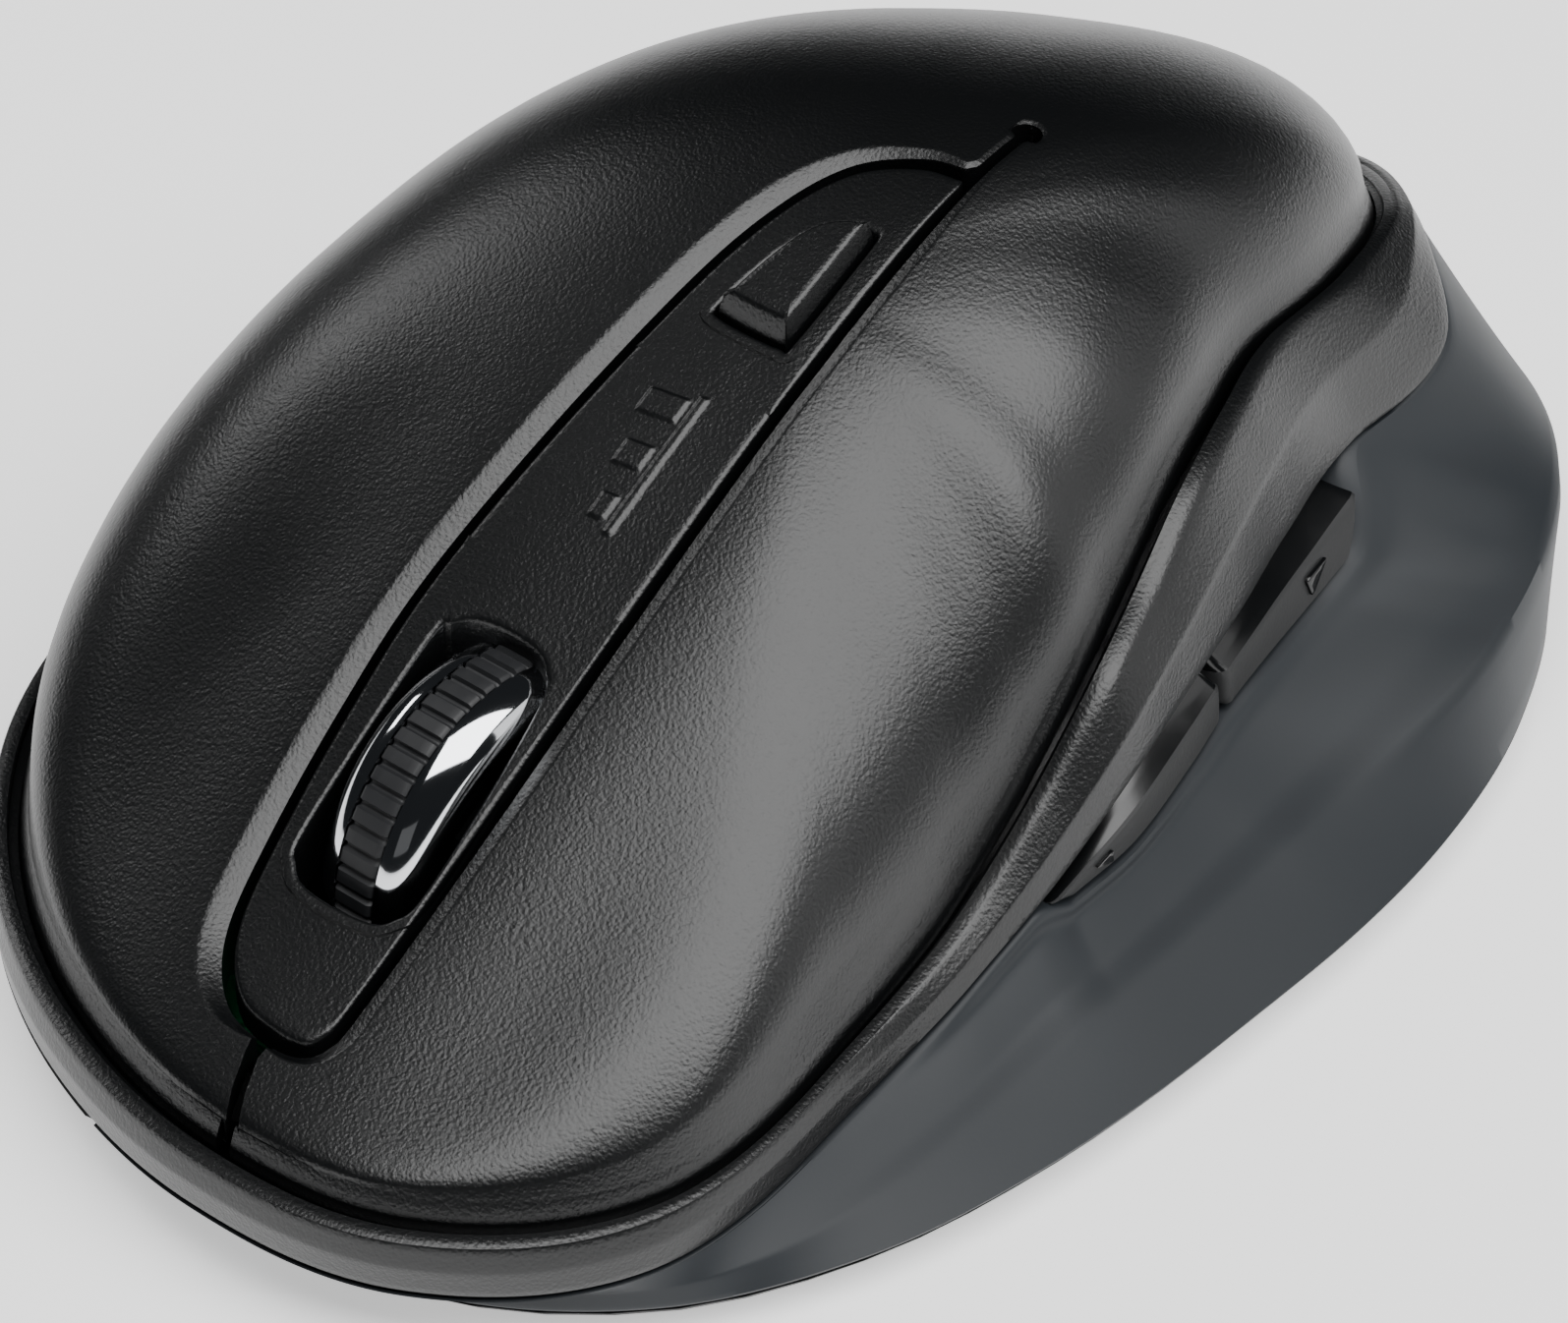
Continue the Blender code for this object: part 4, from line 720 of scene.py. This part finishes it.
# (name, lower corners' angles, upper corners' angles, the mark's angle, which way it points)
for name, low_ends, high_ends, mark_at, mark_way in (
        ("side_button_front", (-14.5, KEY_SPLIT - 0.8), (-20.0, KEY_SPLIT - 1.4), -7.5, -1),
        ("side_button_rear", (KEY_SPLIT + 0.8, 49.0), (KEY_SPLIT + 0.3, 57.0), 45.0, 1)):
    along = np.linspace(0, 1, 150)
    from_end = np.minimum(along, 1 - along) * KEYS_LENGTH
    round_off = np.sqrt(np.clip(1 - np.clip(1 - from_end / END_ROUND, 0, 1) ** 2, 0, 1))
    open_top = 0.4 + 1.5 * (along if mark_way > 0 else 1 - along)
    outer, inner = [], []
    # (share of the height, how far out from a line between the edges, how far in the key's opened top is)
    for share, out, opened in ((0, -0.6, 0), (0, -0.12, 0), (0.03, 0.05, 0), (0.15, 0.1, 0), (0.3, 0.14, 0),
                               (0.45, 0.16, 0), (FACE_TOP, 0.15, 0), (0.56, 0.02, 0.03), (0.63, -0.25, 0.3),
                               (0.75, -0.6, 0.7), (0.9, -0.85, 1), (1, -1.0, 1), (1, -2.6, 1)):
        degrees = (low_ends[0] + (high_ends[0] - low_ends[0]) * share) * (1 - along) + (
            low_ends[1] + (high_ends[1] - low_ends[1]) * share) * along
        foot_radius, foot = ring_at(TRIM_FOOT, degrees)
        low_radius, low = ring_at(KEY_LINE, degrees)
        height = low + KEY_GAP + (foot - low - KEY_GAPS) * (0.5 + (share - 0.5) * (0.8 + 0.2 * round_off))
        radius = low_radius + (foot_radius - low_radius) * share + out - opened * open_top - 0.5 * (1 - round_off)
        outer.append(polar(radius, height, degrees))
        inner.append(polar(np.minimum(radius - 1.3, low_radius - 1.8), np.clip(height, low + 0.6, foot - 0.9),
                           degrees))
    key = plate(name + "_skin", np.stack(outer, 1), np.stack(inner, 1), satin_abs, sharp=32)
    key.data.materials.append(gloss_abs)
    for face in key.data.polygons:
        x, y, z = np.array(face.center) / MM
        turn = np.degrees(np.arctan2(y - AXIS_Y, x - AXIS_X))
        low, foot = ring_at(KEY_LINE, turn)[1], ring_at(TRIM_FOOT, turn)[1]
        if (z - low - KEY_GAP) / (foot - low - KEY_GAPS) > GLOSS_FROM:
            face.material_index = 1
    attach(key, name)
    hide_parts(name)
    # The triangle: a rounded polished boss that stands on the lower face.
    corners = []
    for ahead, share in ((2.0, 0.7), (-1.5, 0.75), (-1.5, 0.25)):
        turn = np.array(mark_at + mark_way * ahead, float)
        low_radius, low = ring_at(KEY_LINE, turn)
        foot_radius, foot = ring_at(TRIM_FOOT, turn)
        corners.append(polar(low_radius + (foot_radius - low_radius) * FACE_TOP * share + 0.08 + 0.07 * share,
                             low + KEY_GAP + (foot - low - KEY_GAPS) * FACE_TOP * share, turn))
    corners = np.array(corners)
    normal = np.cross(corners[1] - corners[0], corners[2] - corners[0])
    normal *= (1 if normal[0] > 0 else -1) / np.linalg.norm(normal)
    centre = corners.mean(0)
    ring_points = []
    # (size of the outline, how far off the face), from its root to its rounded top
    for grow, lift in ((1.0, -0.35), (1.0, 0.2), (0.86, 0.26)):
        for i in range(3):
            for k in range(5):
                side_point = corners[i] + (corners[(i + 1) % 3] - corners[i]) * (0.08 + 0.84 * k / 4)
                ring_points.append(centre + (side_point - centre) * grow + normal * lift)
    faces = [tuple(range(15)), tuple(range(30, 45))]
    faces += [(r + i, r + (i + 1) % 15, r + 15 + (i + 1) % 15, r + 15 + i) for r in (0, 15) for i in range(15)]
    mark_piece = mesh_piece(name + "_mark", np.array(ring_points) * MM, faces, gloss_abs, 50)
    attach(mark_piece, name)

# ---------------------------------------------------------------- scroll wheel
# A moulded rubber tyre with fine cross ribs on an acetal hub, between two chrome-plated rims with rounded faces.

WHEEL = np.array((0.5, -25.3, 13.0))  # the middle of its axle
WHEEL_RADIUS, TYRE_RIBS, RIB_DEPTH, TYRE_WALL = 10.8, 54, 0.32, 1.2
RIM_ROUND = (2.3, 2.15)  # the rounded face's height and width

# Rubber, moulded under pressure: dark grey and dull, so that the ribs show by their shadows.
tyre_rubber, tree, shader = new_material("moulded_rubber", "#1d1e20", IOR=1.5)
place = add(tree, "ShaderNodeTexCoord")
dust = add(tree, "ShaderNodeTexNoise", {"Scale": 1 / (0.5 * MM), "Detail": 4.0}, {"Vector": place.outputs["Object"]})
rubber_gloss = add(tree, "ShaderNodeMapRange", {"To Min": 0.45, "To Max": 0.62}, {"Value": dust.outputs["Fac"]})
rubber_bump = add(tree, "ShaderNodeBump", {"Strength": 0.5, "Distance": 0.01 * MM}, {"Height": dust.outputs["Fac"]})
tree.links.new(rubber_gloss.outputs["Result"], shader.inputs["Roughness"])
tree.links.new(rubber_bump.outputs["Normal"], shader.inputs["Normal"])

# ABS plated with chrome: a mirror with a faint smear, which shows the light boxes as hard white shapes.
chrome, tree, shader = new_material("chrome_plate", "#d9dbde", Metallic=1.0)
place = add(tree, "ShaderNodeTexCoord")
smear = add(tree, "ShaderNodeTexNoise", {"Scale": 1 / (4 * MM), "Detail": 4.0}, {"Vector": place.outputs["Object"]})
chrome_gloss = add(tree, "ShaderNodeMapRange", {"To Min": 0.04, "To Max": 0.1}, {"Value": smear.outputs["Fac"]})
tree.links.new(chrome_gloss.outputs["Result"], shader.inputs["Roughness"])


def wheel_ring(name, turns, profile, back, mat, sharp):
    """A ring round the wheel's axle. profile and back are (radius, place across) pairs, a radius for each turn."""
    grids = []
    for pairs in (profile, back):
        grids.append(np.stack([np.stack([WHEEL[0] + across + 0 * turns, WHEEL[1] + radius * np.sin(turns),
                                         WHEEL[2] + radius * np.cos(turns)], -1) for radius, across in pairs], 1))
    return plate(name, *grids, mat, loop=True, sharp=sharp)


turns = np.linspace(0, 2 * math.pi, TYRE_RIBS * 12, endpoint=False)
phase = (turns * TYRE_RIBS / (2 * math.pi)) % 1
groove = ease(phase, 0.0, 0.12) * (1 - ease(phase, 0.30, 0.42))
profile = []
# (place across, how far below the tread)
for across, depth in ((-1.3, 0.5), (-1.3, 0.2), (-1.2, 0.06), (-1.05, 0.0), (-0.5, 0.0), (0.0, 0.0), (0.5, 0.0),
                      (1.05, 0.0), (1.2, 0.06), (1.3, 0.2), (1.3, 0.5)):
    profile.append((WHEEL_RADIUS - depth - RIB_DEPTH * groove, across))
back = [(WHEEL_RADIUS - TYRE_WALL + 0 * turns, across) for _, across in profile]
tyre = wheel_ring("ribbed_tyre", turns, profile, back, tyre_rubber, 35)
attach(tyre, "scroll_wheel")
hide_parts("wheel_tyre")
turns = np.linspace(0, 2 * math.pi, 160, endpoint=False)
for side, node in ((1, "wheel_rim_left"), (-1, "wheel_rim_right")):
    profile = []
    for step in np.linspace(0, 1, 14):
        turn = math.radians(88 - 82 * step)
        # A convex face from beside the tyre, over the shoulder, to the flat outside of the rim.
        profile.append((8.35 + RIM_ROUND[0] * math.sin(turn) + 0 * turns,
                        side * (1.34 + RIM_ROUND[1] * math.cos(turn))))
    profile = [(9.7 + 0 * turns, side * 1.34)] + profile
    profile += [(8.2 + 0 * turns, side * 3.45), (3.0 + 0 * turns, side * 2.8)]
    back = [(np.minimum(radius - 0.7, 9.0), side * min(abs(across), 2.0) * 0.98) for radius, across in profile]
    rim = wheel_ring("chrome_" + node, turns, profile, back, chrome, 40)
    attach(rim, "scroll_wheel")
    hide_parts(node)

# ---------------------------------------------------------------- inner parts
# The chassis parts under the cover: acetal and ABS frames, two green boards, epoxy switches, plated steel, the
# cell in its sleeve, a clear lens, and slippery feet. They show through openings and when a cover is off.


def speckled(name, hex_colour, roughness, size, depth, spread, **settings):
    """A moulded or cast finish: a fine bump and a change of gloss at the same size, in mm."""
    mat, tree, shader = new_material(name, hex_colour, **settings)
    place = add(tree, "ShaderNodeTexCoord")
    spots = add(tree, "ShaderNodeTexNoise", {"Scale": 1 / (size * MM), "Detail": 3.0},
                {"Vector": place.outputs["Object"]})
    gloss = add(tree, "ShaderNodeMapRange", {"To Min": roughness - spread, "To Max": roughness + spread},
                {"Value": spots.outputs["Fac"]})
    bump = add(tree, "ShaderNodeBump", {"Strength": 0.7, "Distance": depth * MM}, {"Height": spots.outputs["Fac"]})
    tree.links.new(gloss.outputs["Result"], shader.inputs["Roughness"])
    tree.links.new(bump.outputs["Normal"], shader.inputs["Normal"])
    return mat


def banded(mat, stops, **wave):
    """Colours a material by a pattern: stops are (place, hex colour), wave the pattern's kind and settings."""
    tree = mat.node_tree
    place = add(tree, "ShaderNodeTexCoord")
    pattern = add(tree, wave.pop("kind"), {k.replace("_", " ") if k[0].isupper() else k: v for k, v in wave.items()},
                  {"Vector": place.outputs["Object"]})
    ramp = add(tree, "ShaderNodeValToRGB", None, {"Fac": pattern.outputs[0]})
    while len(ramp.color_ramp.elements) < len(stops):
        ramp.color_ramp.elements.new(0.5)
    for element, (at, code) in zip(ramp.color_ramp.elements, stops):
        element.position = at
        element.color = (*linear(code), 1)
    tree.links.new(ramp.outputs["Color"], tree.nodes["Principled BSDF"].inputs["Base Color"])


# Moulded acetal: black, waxy and faintly rippled.
acetal = speckled("black_acetal", "#1b1c1d", 0.4, 0.6, 0.01, 0.06, IOR=1.48)
# Cast epoxy, as on switches and chips: matt charcoal with a fine speckle.
epoxy = speckled("black_epoxy", "#18191b", 0.5, 0.15, 0.01, 0.08, IOR=1.55)
# Turned or stamped steel with zinc plating: a light grey metal with a cloudy gloss.
plated = speckled("zinc_plated_steel", "#b4b5b2", 0.32, 0.4, 0.004, 0.08, Metallic=1.0)
# Glass-epoxy board under a green mask: glossy green, with lighter lines where copper lies under it.
solder_mask = speckled("green_solder_mask", "#0e4a2c", 0.3, 1.2, 0.01, 0.06, IOR=1.5)
banded(solder_mask, [(0.0, "#1d6b41"), (0.05, "#1d6b41"), (0.09, "#0d4529")], kind="ShaderNodeTexVoronoi",
       feature="DISTANCE_TO_EDGE", Scale=1 / (2.4 * MM))
# A printed shrink sleeve on the cell: smooth and glossy, in dark and copper bands.
sleeve = speckled("printed_cell_sleeve", "#3a3d40", 0.25, 2.0, 0.004, 0.06, IOR=1.5)
banded(sleeve, [(0.0, "#2b2d30"), (0.42, "#2b2d30"), (0.46, "#b27a35")], kind="ShaderNodeTexWave",
       bands_direction="Y", Scale=0.9 / (50 * MM), Distortion=0.0)
# Moulded polycarbonate: a small clear window with a sharp glint.
lens_clear = speckled("clear_polycarbonate", "#f2f6f7", 0.08, 3.0, 0.002, 0.03, IOR=1.58, Transmission_Weight=1.0)
# Skived PTFE tape: dark grey, with the soft sheen of wax.
ptfe = speckled("grey_ptfe", "#2e3032", 0.38, 1.5, 0.008, 0.1, IOR=1.38)
for mat, nodes in (
        (acetal, "wheel_hub wheel_cradle side_key_carrier battery_tray"),
        (epoxy, "left_switch right_switch wheel_switch dpi_switch side_switch_front side_switch_rear power_switch "
                "optical_sensor scroll_encoder"),
        (plated, "cradle_pin board_screw_left board_screw_right case_screw_1 case_screw_2 battery_contact_plus "
                 "battery_contact_minus battery_spring receiver_plug"),
        (solder_mask, "circuit_board dpi_board"), (sleeve, "battery"), (lens_clear, "sensor_lens"),
        (ptfe, "glide_foot_front glide_foot_left glide_foot_right")):
    for node in nodes.split():
        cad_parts[node].material_slots[0].material = mat
